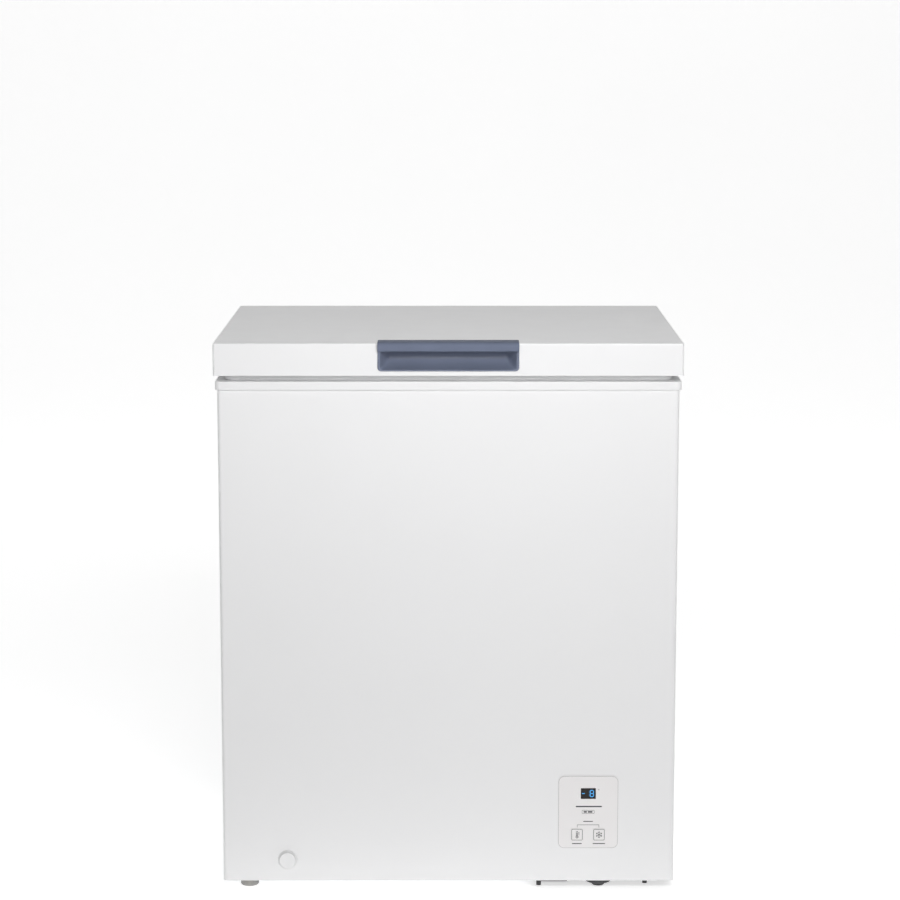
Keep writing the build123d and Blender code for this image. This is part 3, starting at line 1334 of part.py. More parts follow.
# ---------------------------------------------------------------- basket
wire_z = ledge_top + FOOT_GAP + BASKET_WIRE
basket_base = wire_z - BASKET_HEIGHT
hang_front = inner_front - LEDGE + BASKET_WIRE + HANGER_GAP
hang_back = inner_back + LEDGE - BASKET_WIRE - HANGER_GAP
wall_front = inner_front + BASKET_INSET
wall_back = inner_back - BASKET_INSET
basket_low = BASKET_X - BASKET_WIDTH / 2
basket_high = BASKET_X + BASKET_WIDTH / 2
with BuildPart() as wire_basket:
    with BuildLine() as rim_route:
        FilletPolyline(
            (basket_low, hang_front, wire_z),
            (basket_high, hang_front, wire_z),
            (basket_high, hang_back, wire_z),
            (basket_low, hang_back, wire_z),
            radius=8.0,
            close=True,
        )
    with BuildSketch(Plane(origin=rim_route.line @ 0, z_dir=rim_route.line % 0)):
        Circle(BASKET_WIRE)
    sweep(path=rim_route.line)
    for i in range(LONG_WIRES):
        x = basket_low + BASKET_WIDTH * (i + 1) / (LONG_WIRES + 1)
        tube(
            [
                (x, hang_front, wire_z),
                (x, wall_front, wire_z),
                (x, wall_front + TAPER, basket_base),
                (x, wall_back - TAPER, basket_base),
                (x, wall_back, wire_z),
                (x, hang_back, wire_z),
            ],
            BASKET_FINE_WIRE,
            5.0,
        )
    for i in range(CROSS_WIRES):
        y = wall_front + 14 + (wall_back - wall_front - 28) * i / (CROSS_WIRES - 1)
        tube(
            [
                (basket_low, y, wire_z),
                (basket_low + TAPER, y, basket_base + BASKET_FINE_WIRE),
                (basket_high - TAPER, y, basket_base + BASKET_FINE_WIRE),
                (basket_high, y, wire_z),
            ],
            BASKET_FINE_WIRE,
            5.0,
        )
wire_basket.part.label = "wire_basket"
export_step(wire_basket.part, "parts/wire_basket.step")
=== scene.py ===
"""Looks of the chest freezer: materials, fine meshes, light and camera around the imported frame.

Lengths are metres in the frame's own axes: +Z up, the front faces -Y.
"""

import json
import math

import bmesh
import bpy
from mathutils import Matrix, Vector


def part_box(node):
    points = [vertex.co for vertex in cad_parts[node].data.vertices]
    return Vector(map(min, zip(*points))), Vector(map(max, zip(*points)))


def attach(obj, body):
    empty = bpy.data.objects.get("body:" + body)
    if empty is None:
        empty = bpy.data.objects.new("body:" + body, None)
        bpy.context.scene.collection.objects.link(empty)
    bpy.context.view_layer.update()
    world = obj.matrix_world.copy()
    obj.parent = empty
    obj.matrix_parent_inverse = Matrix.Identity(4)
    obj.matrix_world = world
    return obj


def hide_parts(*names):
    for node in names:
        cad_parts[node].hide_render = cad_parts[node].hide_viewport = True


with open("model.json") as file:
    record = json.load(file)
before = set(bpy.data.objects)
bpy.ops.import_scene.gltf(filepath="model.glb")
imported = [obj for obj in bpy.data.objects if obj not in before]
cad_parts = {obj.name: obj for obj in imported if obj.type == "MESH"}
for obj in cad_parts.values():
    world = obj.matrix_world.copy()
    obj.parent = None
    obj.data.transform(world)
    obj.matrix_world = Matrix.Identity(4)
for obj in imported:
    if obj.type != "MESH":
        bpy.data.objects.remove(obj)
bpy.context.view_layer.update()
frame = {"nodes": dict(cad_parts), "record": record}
MM = 0.001

# ---------------------------------------------------------------- places read from the frame
lid_low, lid_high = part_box("lid_skin")
handle_low, handle_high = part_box("lid_handle")
bezel_low, bezel_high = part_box("control_bezel")
window_low, window_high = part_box("display_window")
temp_low, temp_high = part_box("temp_set_button")
freeze_low, freeze_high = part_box("super_freeze_button")


# ---------------------------------------------------------------- camera
CAMERA_DISTANCE = 3.95  # in front of the lid's face
CAMERA_HEIGHT = 1.317
CAMERA_TILT = 9.10  # degrees below level
CAMERA_SIDE = 0.0025
LENS = 107.0
SENSOR = 36.0

camera_data = bpy.data.cameras.new("camera")
camera_data.lens = LENS
camera_data.sensor_width = SENSOR
camera_data.clip_end = 50.0
camera = bpy.data.objects.new("camera", camera_data)
camera.location = (CAMERA_SIDE, lid_low.y - CAMERA_DISTANCE, CAMERA_HEIGHT)
camera.rotation_euler = (math.radians(90.0 - CAMERA_TILT), 0, 0)
bpy.context.scene.collection.objects.link(camera)
bpy.context.scene.camera = camera


# ---------------------------------------------------------------- materials
NOISE_SPAN = (0.3, 0.7)  # where nearly all of a noise texture's values lie
COAT_ROUGHNESS = 0.1


def new_material(name):
    """An empty node material: its node tree and its principled shader."""
    material = bpy.data.materials.new(name)
    material.use_nodes = True
    tree = material.node_tree
    tree.nodes.clear()
    output = tree.nodes.new("ShaderNodeOutputMaterial")
    shader = tree.nodes.new("ShaderNodeBsdfPrincipled")
    tree.links.new(shader.outputs["BSDF"], output.inputs["Surface"])
    return material, tree, shader


def noise(tree, scale, detail):
    """A noise texture over object coordinates, in cycles per metre."""
    coordinates = tree.nodes.new("ShaderNodeTexCoord")
    texture = tree.nodes.new("ShaderNodeTexNoise")
    texture.inputs["Scale"].default_value = scale
    texture.inputs["Detail"].default_value = detail
    tree.links.new(coordinates.outputs["Object"], texture.inputs["Vector"])
    return texture.outputs["Fac"]


def map_range(tree, value, source, target):
    """A value taken from one range to another, and held inside it."""
    node = tree.nodes.new("ShaderNodeMapRange")
    node.inputs["From Min"].default_value, node.inputs["From Max"].default_value = source
    node.inputs["To Min"].default_value, node.inputs["To Max"].default_value = target
    tree.links.new(value, node.inputs["Value"])
    return node.outputs["Result"]


def tinted(tree, value, first, second):
    """A colour between two, chosen by a noise value."""
    ramp = tree.nodes.new("ShaderNodeValToRGB")
    for element, position, colour in zip(ramp.color_ramp.elements, NOISE_SPAN, (first, second)):
        element.position = position
        element.color = (*colour, 1)
    tree.links.new(value, ramp.inputs["Fac"])
    return ramp.outputs["Color"]


def bump(tree, shader, height, strength, distance):
    """Fine relief on the shader's normal, its depth in metres."""
    node = tree.nodes.new("ShaderNodeBump")
    node.inputs["Strength"].default_value = strength
    node.inputs["Distance"].default_value = distance
    tree.links.new(height, node.inputs["Height"])
    tree.links.new(node.outputs["Normal"], shader.inputs["Normal"])


def finish_material(
    name, colour, shade, tint_scale, rough, rough_scale, grain, grain_depth,
    grain_strength=0.3, metallic=0.0, coat=0.0, specular=0.5, detail=3.0,
):
    """A solid finish: slow colour drift, uneven gloss and a fine surface grain (depth in mm)."""
    material, tree, shader = new_material(name)
    darker = tuple(c * shade for c in colour)
    tint = noise(tree, tint_scale, 4)
    tree.links.new(tinted(tree, tint, darker, colour), shader.inputs["Base Color"])
    gloss = noise(tree, rough_scale, 3)
    tree.links.new(map_range(tree, gloss, NOISE_SPAN, rough), shader.inputs["Roughness"])
    bump(tree, shader, noise(tree, grain, detail), grain_strength, grain_depth * MM)
    shader.inputs["Metallic"].default_value = metallic
    shader.inputs["Specular IOR Level"].default_value = specular
    if coat:
        shader.inputs["Coat Weight"].default_value = coat
        shader.inputs["Coat Roughness"].default_value = COAT_ROUGHNESS
    return material


FINISHES = {
    "white_enamel": dict(
        colour=(0.80, 0.80, 0.805), shade=0.985, tint_scale=2.5, rough=(0.30, 0.36),
        rough_scale=25, grain=420, grain_depth=0.03, grain_strength=0.22, detail=2.0,
    ),
    "white_plastic": dict(
        colour=(0.79, 0.79, 0.795), shade=0.975, tint_scale=7, rough=(0.34, 0.44), rough_scale=60,
        grain=1900, grain_depth=0.02, grain_strength=0.25,
    ),
    "panel_plastic": dict(
        colour=(0.80, 0.785, 0.785), shade=0.985, tint_scale=18, rough=(0.36, 0.44),
        rough_scale=90, grain=2600, grain_depth=0.012, grain_strength=0.25,
    ),
    "handle_blue_grey": dict(
        colour=(0.158, 0.182, 0.252), shade=0.93, tint_scale=22, rough=(0.30, 0.40),
        rough_scale=110, grain=2400, grain_depth=0.02, grain_strength=0.35, specular=0.45,
    ),
    # painted shade: the handle's blue-grey plastic made a little darker and much duller for the lip and cap,
    # to darken the handle's top
    "handle_cap": dict(
        colour=(0.150, 0.174, 0.243), shade=0.93, tint_scale=22, rough=(0.50, 0.58),
        rough_scale=110, grain=2400, grain_depth=0.02, grain_strength=0.35, specular=0.03,
    ),
    "galvanised_sheet": dict(
        colour=(0.60, 0.62, 0.64), shade=0.94, tint_scale=60, rough=(0.40, 0.47), rough_scale=90,
        grain=320, grain_depth=0.03, grain_strength=0.2, metallic=0.9,
    ),
    "liner_sheet": dict(
        colour=(0.74, 0.75, 0.76), shade=0.97, tint_scale=9, rough=(0.26, 0.38), rough_scale=30,
        grain=520, grain_depth=0.05, grain_strength=0.4, metallic=0.25,
    ),
    "foam": dict(
        colour=(0.72, 0.60, 0.34), shade=0.8, tint_scale=35, rough=(0.85, 0.95), rough_scale=120,
        grain=520, grain_depth=0.5, grain_strength=0.7, detail=6,
    ),
    "steel_tube": dict(
        colour=(0.30, 0.30, 0.31), shade=0.75, tint_scale=40, rough=(0.35, 0.5), rough_scale=160,
        grain=700, grain_depth=0.03, metallic=0.9,
    ),
    "aluminium_tube": dict(
        colour=(0.72, 0.73, 0.74), shade=0.85, tint_scale=45, rough=(0.25, 0.4), rough_scale=160,
        grain=900, grain_depth=0.02, metallic=1.0,
    ),
    "copper": dict(
        colour=(0.72, 0.36, 0.22), shade=0.68, tint_scale=55, rough=(0.24, 0.42), rough_scale=180,
        grain=800, grain_depth=0.03, metallic=1.0,
    ),
    "black_steel": dict(
        colour=(0.018, 0.018, 0.019), shade=0.7, tint_scale=35, rough=(0.28, 0.42),
        rough_scale=120, grain=600, grain_depth=0.05, grain_strength=0.3, coat=0.2,
    ),
    "black_plastic": dict(
        colour=(0.016, 0.016, 0.017), shade=0.75, tint_scale=60, rough=(0.45, 0.6),
        rough_scale=220, grain=2200, grain_depth=0.03, grain_strength=0.4,
    ),
    "grey_plastic": dict(
        colour=(0.30, 0.305, 0.31), shade=0.9, tint_scale=30, rough=(0.48, 0.6), rough_scale=150,
        grain=2000, grain_depth=0.03, grain_strength=0.4,
    ),
    "black_rubber": dict(
        colour=(0.014, 0.014, 0.014), shade=0.75, tint_scale=90, rough=(0.7, 0.85),
        rough_scale=260, grain=1500, grain_depth=0.05, grain_strength=0.5,
    ),
    "white_cable": dict(
        colour=(0.66, 0.66, 0.64), shade=0.9, tint_scale=60, rough=(0.4, 0.55), rough_scale=220,
        grain=1200, grain_depth=0.02,
    ),
    "zinc_fastener": dict(
        colour=(0.58, 0.58, 0.56), shade=0.72, tint_scale=70, rough=(0.25, 0.45), rough_scale=240,
        grain=900, grain_depth=0.03, metallic=1.0,
    ),
    "spring_steel": dict(
        colour=(0.32, 0.32, 0.33), shade=0.7, tint_scale=120, rough=(0.22, 0.36), rough_scale=300,
        grain=1500, grain_depth=0.02, metallic=1.0,
    ),
    "board_green": dict(
        colour=(0.012, 0.11, 0.045), shade=0.6, tint_scale=240, rough=(0.25, 0.4), rough_scale=300,
        grain=900, grain_depth=0.03,
    ),
    "gasket_vinyl": dict(
        colour=(0.85, 0.85, 0.86), shade=0.95, tint_scale=40, rough=(0.5, 0.62), rough_scale=170,
        grain=900, grain_depth=0.03,
    ),
    "coated_wire": dict(
        colour=(0.76, 0.76, 0.76), shade=0.93, tint_scale=50, rough=(0.22, 0.34), rough_scale=130,
        grain=700, grain_depth=0.04, grain_strength=0.4, coat=0.3,
    ),
    "foot_light_grey": dict(
        colour=(0.36, 0.36, 0.36), shade=0.85, tint_scale=70, rough=(0.5, 0.65), rough_scale=200,
        grain=1500, grain_depth=0.04, grain_strength=0.4,
    ),
    "foot_dark_grey": dict(
        colour=(0.055, 0.055, 0.058), shade=0.8, tint_scale=70, rough=(0.45, 0.6), rough_scale=200,
        grain=1500, grain_depth=0.04, grain_strength=0.4,
    ),
    "display_lens": dict(
        colour=(0.012, 0.009, 0.008), shade=0.7, tint_scale=90, rough=(0.08, 0.14),
        rough_scale=200, grain=300, grain_depth=0.004, grain_strength=0.1,
    ),
    "print_grey": dict(
        colour=(0.055, 0.055, 0.06), shade=0.85, tint_scale=300, rough=(0.45, 0.6),
        rough_scale=400, grain=3000, grain_depth=0.005,
    ),
    "print_light": dict(
        colour=(0.40, 0.40, 0.405), shade=0.9, tint_scale=300, rough=(0.45, 0.6), rough_scale=400,
        grain=3000, grain_depth=0.005,
    ),
}
materials = {name: finish_material(name, **finish) for name, finish in FINISHES.items()}


def lit_material(name, colour, strength):
    """A glowing display segment, slightly uneven as a lit one is."""
    material, tree, shader = new_material(name)
    glow = noise(tree, 900, 2)
    dim = tuple(c * 0.7 for c in colour)
    for socket in ("Emission Color", "Base Color"):
        tree.links.new(tinted(tree, glow, dim, colour), shader.inputs[socket])
    tree.links.new(map_range(tree, glow, NOISE_SPAN, (0.4, 0.5)), shader.inputs["Roughness"])
    shader.inputs["Emission Strength"].default_value = strength
    return material


segment_lit = lit_material("segment_lit", (0.06, 0.30, 0.62), 0.85)
segment_dim = lit_material("segment_dim", (0.02, 0.06, 0.14), 0.25)

slot_of = {entry["node"]: entry["material_slot"] for entry in frame["record"]["subparts"]}
for name, node in frame["nodes"].items():
    for material_slot in node.material_slots:
        material_slot.material = materials[slot_of[name]]


# ---------------------------------------------------------------- mesh helpers
def mesh_object(name, vertices, faces, material, smooth=True):
    """A mesh object from vertices in metres and faces."""
    mesh = bpy.data.meshes.new(name)
    mesh.from_pydata([tuple(v) for v in vertices], [], faces)
    mesh.validate()
    work = bmesh.new()
    work.from_mesh(mesh)
    bmesh.ops.recalc_face_normals(work, faces=work.faces)
    work.to_mesh(mesh)
    work.free()
    if smooth:
        mesh.shade_smooth()
    piece = bpy.data.objects.new(name, mesh)
    bpy.context.scene.collection.objects.link(piece)
    mesh.materials.append(material)
    return piece


def place(piece, body, slot, *replaced):
    """The piece rides on a body and stands for some CAD nodes; the slot it is given is not used."""
    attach(piece, body)
    if replaced:
        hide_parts(*replaced)


def rounded_rectangle(width, height, radius, steps=8):
    """Points round a rectangle with rounded corners, about its own centre."""
    points = []
    for cx, cy, start in (
        (width / 2 - radius, height / 2 - radius, 0),
        (radius - width / 2, height / 2 - radius, 90),
        (radius - width / 2, radius - height / 2, 180),
        (width / 2 - radius, radius - height / 2, 270),
    ):
        for i in range(steps + 1):
            turn = math.radians(start + 90.0 * i / steps)
            points.append((cx + radius * math.cos(turn), cy + radius * math.sin(turn)))
    return points


class Print:
    """Flat printed shapes on the front of a panel, as thin raised islands of one mesh."""

    THICKNESS = 0.06 * MM

    def __init__(self, y):
        self.y = y
        self.vertices = []
        self.faces = []

    def fill(self, outline):
        """A filled outline, given as points in x and z."""
        first = len(self.vertices)
        count = len(outline)
        self.vertices += [(x, self.y, z) for x, z in outline]
        self.vertices += [(x, self.y - self.THICKNESS, z) for x, z in outline]
        self.faces.append([first + count + i for i in range(count)])
        self.faces.append([first + i for i in reversed(range(count))])
        for i in range(count):
            j = (i + 1) % count
            self.faces.append([first + i, first + j, first + count + j, first + count + i])

    def ring(self, outer, inner):
        """The band between two outlines with as many points each."""
        first = len(self.vertices)
        count = len(outer)
        for depth in (0.0, self.THICKNESS):
            for outline in (outer, inner):
                self.vertices += [(x, self.y - depth, z) for x, z in outline]
        for i in range(count):
            j = (i + 1) % count
            back_outer, back_inner = first, first + count
            front_outer, front_inner = first + 2 * count, first + 3 * count
            self.faces.append([front_outer + i, front_outer + j, front_inner + j, front_inner + i])
            self.faces.append([back_outer + i, back_inner + i, back_inner + j, back_outer + j])
            self.faces.append([back_outer + i, back_outer + j, front_outer + j, front_outer + i])
            self.faces.append([back_inner + i, front_inner + i, front_inner + j, back_inner + j])

    def bar(self, x, z, width, height, radius):
        """A filled bar with rounded corners, about its centre."""
        self.fill([(x + dx, z + dz) for dx, dz in rounded_rectangle(width, height, radius, 4)])

    def line(self, start, end, width):
        """A straight stroke with square ends."""
        direction = (Vector(end) - Vector(start)).normalized()
        side = Vector((-direction.y, direction.x)) * width / 2
        corners = (Vector(start) + side, Vector(end) + side, Vector(end) - side, Vector(start) - side)
        self.fill([tuple(corner) for corner in corners])

    def frame(self, x, z, width, height, radius, stroke):
        """A rounded rectangular outline of one stroke's width, about its centre."""
        outer = rounded_rectangle(width, height, radius)
        inner = rounded_rectangle(width - 2 * stroke, height - 2 * stroke, max(radius - stroke, stroke / 4))
        self.ring([(x + dx, z + dz) for dx, dz in outer], [(x + dx, z + dz) for dx, dz in inner])

    def piece(self, name, material):
        """The mesh object of everything printed so far."""
        return mesh_object(name, self.vertices, self.faces, material, smooth=False)


# ---------------------------------------------------------------- lid handle
CAP_GAP = 0.02 * MM  # keeps the handle's faces off the lid's


def handle_cup():
    """The bezel with its finger cavity: a front surface whose depth is worked out point by point."""
    width = handle_high.x - handle_low.x
    base = handle_low.z
    top = lid_high.z - 4 * MM
    face = lid_low.y - 2 * MM
    back = lid_low.y
    corner = 5.5 * MM
    border = 3.4 * MM
    bottom_border = 2.2 * MM
    end_slope = 19 * MM
    full_depth = 24 * MM
    deepest = 0.62  # share of the mouth's height where the cavity is deepest
    overhang_cut = 0.45
    edge_radius = 0.9 * MM
    mouth = handle_high.z - 13.5 * MM - base - bottom_border
    columns, rows = 150, 44

    def half_width_at(z):
        rise = z - base
        if rise >= corner:
            return width / 2
        return width / 2 - corner + math.sqrt(corner**2 - (corner - rise) ** 2)

    def depth(x, z):
        inset = width / 2 - border - abs(x)
        rise = z - base - bottom_border
        if inset <= 0 or rise <= 0:
            return 0.0
        share = rise / mouth
        reach = end_slope * (0.6 + 0.4 * min(share, 1.0))
        along = math.sin(min(inset / reach, 1.0) * math.pi / 2)
        upward = math.sin(min(share / deepest, 1.0) * math.pi / 2) ** 0.8
        overhang = 1 - overhang_cut * max(0.0, (share - deepest) / 0.38) ** 2
        return full_depth * along * upward * max(overhang, 0.4)

    def edge_roll(x, z):
        edge = min(half_width_at(z) - abs(x), z - base)
        if edge >= edge_radius:
            return 0.0
        gap = 1 - max(edge, 0) / edge_radius
        return edge_radius * (1 - math.sqrt(max(0.0, 1 - gap * gap)))

    vertices, faces = [], []
    for row in range(rows + 1):
        share = row / rows
        z = base + (top - base) * (share + 0.35 * share * (share - 1))
        half = half_width_at(z)
        for column in range(columns + 1):
            turn = -1 + 2 * column / columns
            x = half * math.sin(turn * math.pi / 2) * 0.35 + half * turn * 0.65
            vertices.append((x, face + depth(x, z) + edge_roll(x, z), z))
    stride = columns + 1
    for row in range(rows):
        for column in range(columns):
            a = row * stride + column
            faces.append([a, a + 1, a + 1 + stride, a + stride])
    ring = list(range(columns + 1))
    ring += [columns + row * stride for row in range(1, rows + 1)]
    ring += [rows * stride + column for column in reversed(range(columns))]
    ring += [row * stride for row in reversed(range(1, rows))]
    first = len(vertices)
    for index in ring:
        x, y, z = vertices[index]
        vertices.append((x, max(back, y) + CAP_GAP, z))
    for i in range(len(ring)):
        j = (i + 1) % len(ring)
        faces.append([ring[i], ring[j], first + j, first + i])
    return vertices, faces


def handle_lip():
    """The pull lip and the cap over the lid's edge: one profile drawn along the handle."""
    front = handle_low.y
    top = handle_high.z
    lid_top = lid_high.z
    under = lid_top - 12 * MM
    rear = lid_low.y + 30 * MM
    profile = [
        (lid_low.y + 8 * MM, lid_top - 3 * MM),
        (lid_low.y + 6 * MM, under + 4.5 * MM),
        (lid_low.y - 2 * MM, under + 4.0 * MM),
        (front + 3.4 * MM, under + 0.9 * MM),
        (front + 2.6 * MM, under + 0.15 * MM),
        (front + 1.5 * MM, under),
        (front + 0.6 * MM, under + 0.5 * MM),
        (front, under + 1.6 * MM),
    ]
    bend = 5.6 * MM
    for i in range(11):
        turn = math.radians(180 - 9 * i)
        profile.append((front + bend + bend * math.cos(turn), top - bend + bend * math.sin(turn)))
    profile += [
        (rear - 0.8 * MM, top),
        (rear - 0.2 * MM, top - 0.25 * MM),
        (rear, top - 0.8 * MM),
        (rear, lid_top + CAP_GAP),
        (lid_low.y + 8 * MM, lid_top + CAP_GAP),
    ]
    half = handle_high.x - CAP_GAP
    end_roll = 2.4 * MM
    right_end = []
    for i in range(7):
        turn = math.radians(90.0 * i / 6)
        shrink = end_roll * (1 - math.cos(turn)) * 0.55
        right_end.append((half - end_roll * (1 - math.sin(turn)), shrink))
    stations = [(-x, shrink) for x, shrink in reversed(right_end)] + right_end
    centre_y = sum(y for y, z in profile) / len(profile)
    centre_z = sum(z for y, z in profile) / len(profile)
    vertices, faces = [], []
    for x, shrink in stations:
        for y, z in profile:
            offset = Vector((centre_y - y, centre_z - z))
            step = min(shrink, offset.length * 0.9)
            moved = Vector((y, z)) + offset.normalized() * step
            vertices.append((x, moved.x, moved.y))
    count = len(profile)
    for s in range(len(stations) - 1):
        for i in range(count):
            j = (i + 1) % count
            faces.append([s * count + i, s * count + j, (s + 1) * count + j, (s + 1) * count + i])
    faces.append(list(range(count)))
    last = (len(stations) - 1) * count
    faces.append([last + i for i in reversed(range(count))])
    return vertices, faces


cup = mesh_object("handle_cup", *handle_cup(), materials["handle_blue_grey"])
place(cup, "lid", "handle_blue_grey", "lid_handle")
# the lip and cap take the darker, duller copy of the handle plastic: painted shade
lip = mesh_object("handle_lip", *handle_lip(), materials["handle_cap"])
place(lip, "lid", "handle_blue_grey", "lid_handle")


# ---------------------------------------------------------------- control panel print
panel_centre = (bezel_low + bezel_high) / 2
panel_width = bezel_high.x - bezel_low.x
panel_height = bezel_high.z - bezel_low.z
window_centre = (window_low + window_high) / 2
temp_x = (temp_low.x + temp_high.x) / 2
freeze_x = (freeze_low.x + freeze_high.x) / 2
key_z = (temp_low.z + temp_high.z) / 2
KEY_SIZE = 17.5 * MM
CAPTION_DROP = 14.2 * MM  # caption bar below the key's middle
BADGE_DROP = 29 * MM  # framed badge below the window's middle
KEY_STROKE = 0.75 * MM


def panel_outline():
    """The fine line round the control panel."""
    prints = Print(bezel_low.y)
    inset = 0.8 * MM
    prints.frame(
        panel_centre.x, panel_centre.z, panel_width - inset, panel_height - inset, 8.6 * MM, 0.45 * MM
    )
    return prints.piece("panel_outline", materials["print_light"])


def panel_marks():
    """Bracket over the keys, a small level bar and plain bars where captions stand."""
    prints = Print(bezel_low.y)
    bracket_z = key_z + 15.5 * MM
    stroke = 0.62 * MM
    drop = 4.0 * MM
    prints.line((temp_x, bracket_z), (freeze_x, bracket_z), stroke)
    for x in (temp_x + stroke / 2, freeze_x - stroke / 2):
        prints.line((x, bracket_z), (x, bracket_z - drop), stroke)
    prints.bar(panel_centre.x, bracket_z + 5.5 * MM, 15 * MM, 1.3 * MM, 0.5 * MM)
    prints.bar(temp_x, key_z - CAPTION_DROP, 15 * MM, 1.4 * MM, 0.5 * MM)
    prints.bar(freeze_x, key_z - CAPTION_DROP, 19 * MM, 1.4 * MM, 0.5 * MM)
    prints.bar(panel_centre.x + 1 * MM, window_centre.z - 20.5 * MM, 40 * MM, 2.0 * MM, 0.8 * MM)
    prints.frame(panel_centre.x, window_centre.z - BADGE_DROP, 19 * MM, 5.4 * MM, 1.0 * MM, 0.5 * MM)
    prints.bar(panel_centre.x - 4.5 * MM, window_centre.z - BADGE_DROP, 5 * MM, 2.4 * MM, 0.5 * MM)
    prints.bar(panel_centre.x + 3.0 * MM, window_centre.z - BADGE_DROP, 7 * MM, 2.4 * MM, 0.5 * MM)
    prints.frame(window_high.x + 4.2 * MM, window_high.z - 2.2 * MM, 1.9 * MM, 1.9 * MM, 0.9 * MM, 0.35 * MM)
    return prints.piece("panel_marks", materials["print_grey"])


def key_print(x, y):
    """A print on a key's face, begun with the line round the key."""
    prints = Print(y)
    prints.frame(x, key_z, KEY_SIZE - 0.6 * MM, KEY_SIZE + 0.2 * MM, 1.8 * MM, 0.62 * MM)
    return prints


def thermometer_key():
    """The temperature key's drawing: a bulb, a tube and three marks."""
    prints = key_print(temp_x, temp_low.y)
    bulb_z = key_z - 3.6 * MM
    bulb = [(math.cos(math.radians(a)), math.sin(math.radians(a))) for a in range(0, 360, 20)]
    prints.ring(
        [(temp_x + 2.3 * MM * c, bulb_z + 2.3 * MM * s) for c, s in bulb],
        [(temp_x + 1.75 * MM * c, bulb_z + 1.75 * MM * s) for c, s in bulb],
    )
    prints.fill([(temp_x + 1.1 * MM * c, bulb_z + 1.1 * MM * s) for c, s in bulb])
    for side in (-1, 1):
        edge = temp_x + side * 1.15 * MM
        prints.line((edge, bulb_z + 2.0 * MM), (edge, key_z + 4.6 * MM), KEY_STROKE)
        prints.line((edge, key_z + 4.5 * MM), (temp_x, key_z + 5.4 * MM), KEY_STROKE)
    prints.bar(temp_x, key_z - 0.2 * MM, 0.7 * MM, 5.6 * MM, 0.3 * MM)
    for i in range(3):
        z = key_z + (3.6 - 1.9 * i) * MM
        prints.line((temp_x + 2.2 * MM, z), (temp_x + 3.8 * MM, z), 0.7 * MM)
    return prints.piece("thermometer_print", materials["print_grey"])


def snowflake_key():
    """The freezing key's drawing: six arms with two branches each."""
    prints = key_print(freeze_x, freeze_low.y)
    middle = Vector((freeze_x, key_z))
    arm = 5.2 * MM
    for i in range(6):
        turn = math.radians(90 + 60 * i)
        direction = Vector((math.cos(turn), math.sin(turn)))
        prints.line(middle + direction * 0.3 * MM, middle + direction * arm, 0.85 * MM)
        root = middle + direction * 3.2 * MM
        for side in (-50, 50):
            branch = Vector((math.cos(turn + math.radians(side)), math.sin(turn + math.radians(side))))
            prints.line(root, root + branch * 1.9 * MM, KEY_STROKE)
    return prints.piece("snowflake_print", materials["print_grey"])


SEGMENTS = {
    "top": ((0, 1), (1, 0)), "middle": ((0, 0), (1, 0)), "bottom": ((0, -1), (1, 0)),
    "upper_left": ((-1, 0.5), (0, 1)), "upper_right": ((1, 0.5), (0, 1)),
    "lower_left": ((-1, -0.5), (0, 1)), "lower_right": ((1, -0.5), (0, 1)),
}


def digit(prints, x, z, lit):
    """Seven-segment strokes about a centre: a digit about 10 mm high."""
    half_width, half_height, stroke = 2.5 * MM, 4.9 * MM, 1.3 * MM
    for name in lit:
        (ox, oz), (dx, dz) = SEGMENTS[name]
        middle = Vector((x + ox * half_width, z + oz * half_height))
        reach = (half_width if dx else half_height / 2) - 0.55 * stroke
        direction = Vector((dx, dz))
        side = Vector((-dz, dx)) * stroke / 2
        tip = direction * (reach + stroke * 0.45)
        flank = direction * reach
        outline = [
            middle - tip, middle - flank - side, middle + flank - side,
            middle + tip, middle + flank + side, middle - flank + side,
        ]
        prints.fill([tuple(point) for point in outline])


lit_print = Print(window_low.y)
digit(lit_print, window_centre.x + 5.4 * MM, window_centre.z, list(SEGMENTS))
digit(lit_print, window_centre.x - 7.6 * MM, window_centre.z, ["middle"])
lit_digits = lit_print.piece("display_digits_lit", segment_lit)
dim_print = Print(window_low.y)
digit(dim_print, window_centre.x - 1.2 * MM, window_centre.z, ["upper_right", "lower_right"])
dim_digits = dim_print.piece("display_digits_dim", segment_dim)
place(lit_digits, "cabinet", "display_lens")
place(dim_digits, "cabinet", "display_lens")
place(panel_outline(), "cabinet", "panel_plastic")
place(panel_marks(), "cabinet", "panel_plastic")
place(thermometer_key(), "temp_key", "panel_plastic")
place(snowflake_key(), "freeze_key", "panel_plastic")


# ---------------------------------------------------------------- floor, backdrop and light
# Painted light: the floor and backdrop glow though they are no lamp, weakly in front, strongly towards the
# backdrop and again far in front.
SWEEP_GLOW = 0.62
FRONT_GLOW = 0.12
FAR_GLOW = 0.35  # added far in front of the object, where the views from behind look
FRONT_FADE = (-0.8, -0.31)  # Y range over which the glow rises towards the backdrop
FAR_FADE = (-5.0, -1.5)
WORLD_STRENGTH = 0.155


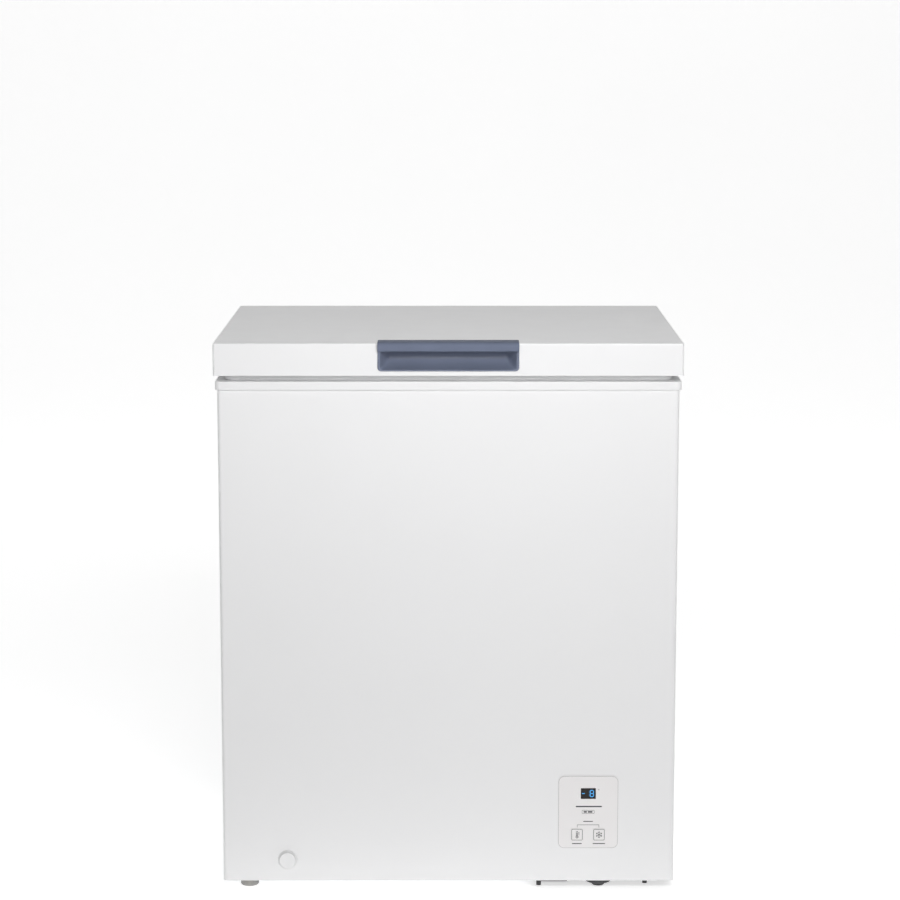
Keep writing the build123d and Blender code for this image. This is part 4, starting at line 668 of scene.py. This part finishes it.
def stage_material():
    """Pale matt floor with painted light: it glows, faintly in front and brighter towards the backdrop,
    standing in for a lit studio sweep.
    """
    material, tree, shader = new_material("studio_sweep")
    tint = noise(tree, 1.2, 2)
    tree.links.new(tinted(tree, tint, (0.88, 0.88, 0.88), (0.9, 0.9, 0.9)), shader.inputs["Base Color"])
    gloss = map_range(tree, noise(tree, 60, 2), NOISE_SPAN, (0.75, 0.85))
    tree.links.new(gloss, shader.inputs["Roughness"])
    bump(tree, shader, noise(tree, 300, 2), 0.1, 0.05 * MM)
    shader.inputs["Specular IOR Level"].default_value = 0.1
    shader.inputs["Emission Color"].default_value = (1, 1, 1, 1)
    coordinates = tree.nodes.new("ShaderNodeTexCoord")
    axes = tree.nodes.new("ShaderNodeSeparateXYZ")
    tree.links.new(coordinates.outputs["Object"], axes.inputs["Vector"])
    depth = axes.outputs["Y"]
    total = tree.nodes.new("ShaderNodeMath")
    total.operation = "ADD"
    tree.links.new(map_range(tree, depth, FRONT_FADE, (FRONT_GLOW, SWEEP_GLOW)), total.inputs[0])
    tree.links.new(map_range(tree, depth, FAR_FADE, (FAR_GLOW, 0.0)), total.inputs[1])
    tree.links.new(total.outputs["Value"], shader.inputs["Emission Strength"])
    return material


def studio_sweep():
    """A floor that curves up into a backdrop behind the object."""
    half, near, far, rise, bend = 9.0, -9.0, 6.0, 9.0, 2.5
    profile = [(near, 0.0), (far - bend, 0.0)]
    for i in range(1, 13):
        turn = math.radians(-90 + 7.5 * i)
        profile.append((far - bend + bend * math.cos(turn), bend + bend * math.sin(turn)))
    profile.append((far, rise))
    vertices = [(x, y, z) for y, z in profile for x in (-half, half)]
    faces = [[2 * i, 2 * i + 1, 2 * i + 3, 2 * i + 2] for i in range(len(profile) - 1)]
    sweep = mesh_object("studio_sweep", vertices, faces, stage_material())


def area_light(name, location, target, size, power, spread=180.0):
    """A soft rectangular light aimed at a target, its spread in degrees."""
    data = bpy.data.lights.new(name, "AREA")
    data.shape = "RECTANGLE"
    data.size, data.size_y = size
    data.energy = power
    data.spread = math.radians(spread)
    light = bpy.data.objects.new(name, data)
    light.location = location
    aim = Vector(target) - Vector(location)
    light.rotation_euler = aim.to_track_quat("-Z", "Y").to_euler()
    bpy.context.scene.collection.objects.link(light)


studio_sweep()
area_light("upper_light", (0.25, -2.3, 1.85), (0, lid_low.y, 0.95), (0.8, 0.4), 5.6, spread=75)
area_light("side_light", (0.95, -2.2, 1.25), (0, 0, 0.85), (0.8, 0.6), 11.3)
area_light("fill_light", (-2.0, -3.0, 1.3), (0, 0, 0.75), (1.2, 0.8), 9.6)

world = bpy.data.worlds.new("world")
world.use_nodes = True
background = world.node_tree.nodes["Background"]
background.inputs["Color"].default_value = (1, 1, 1, 1)
background.inputs["Strength"].default_value = WORLD_STRENGTH
bpy.context.scene.world = world
bpy.context.scene.view_settings.view_transform = "Standard"
bpy.context.scene.view_settings.look = "None"
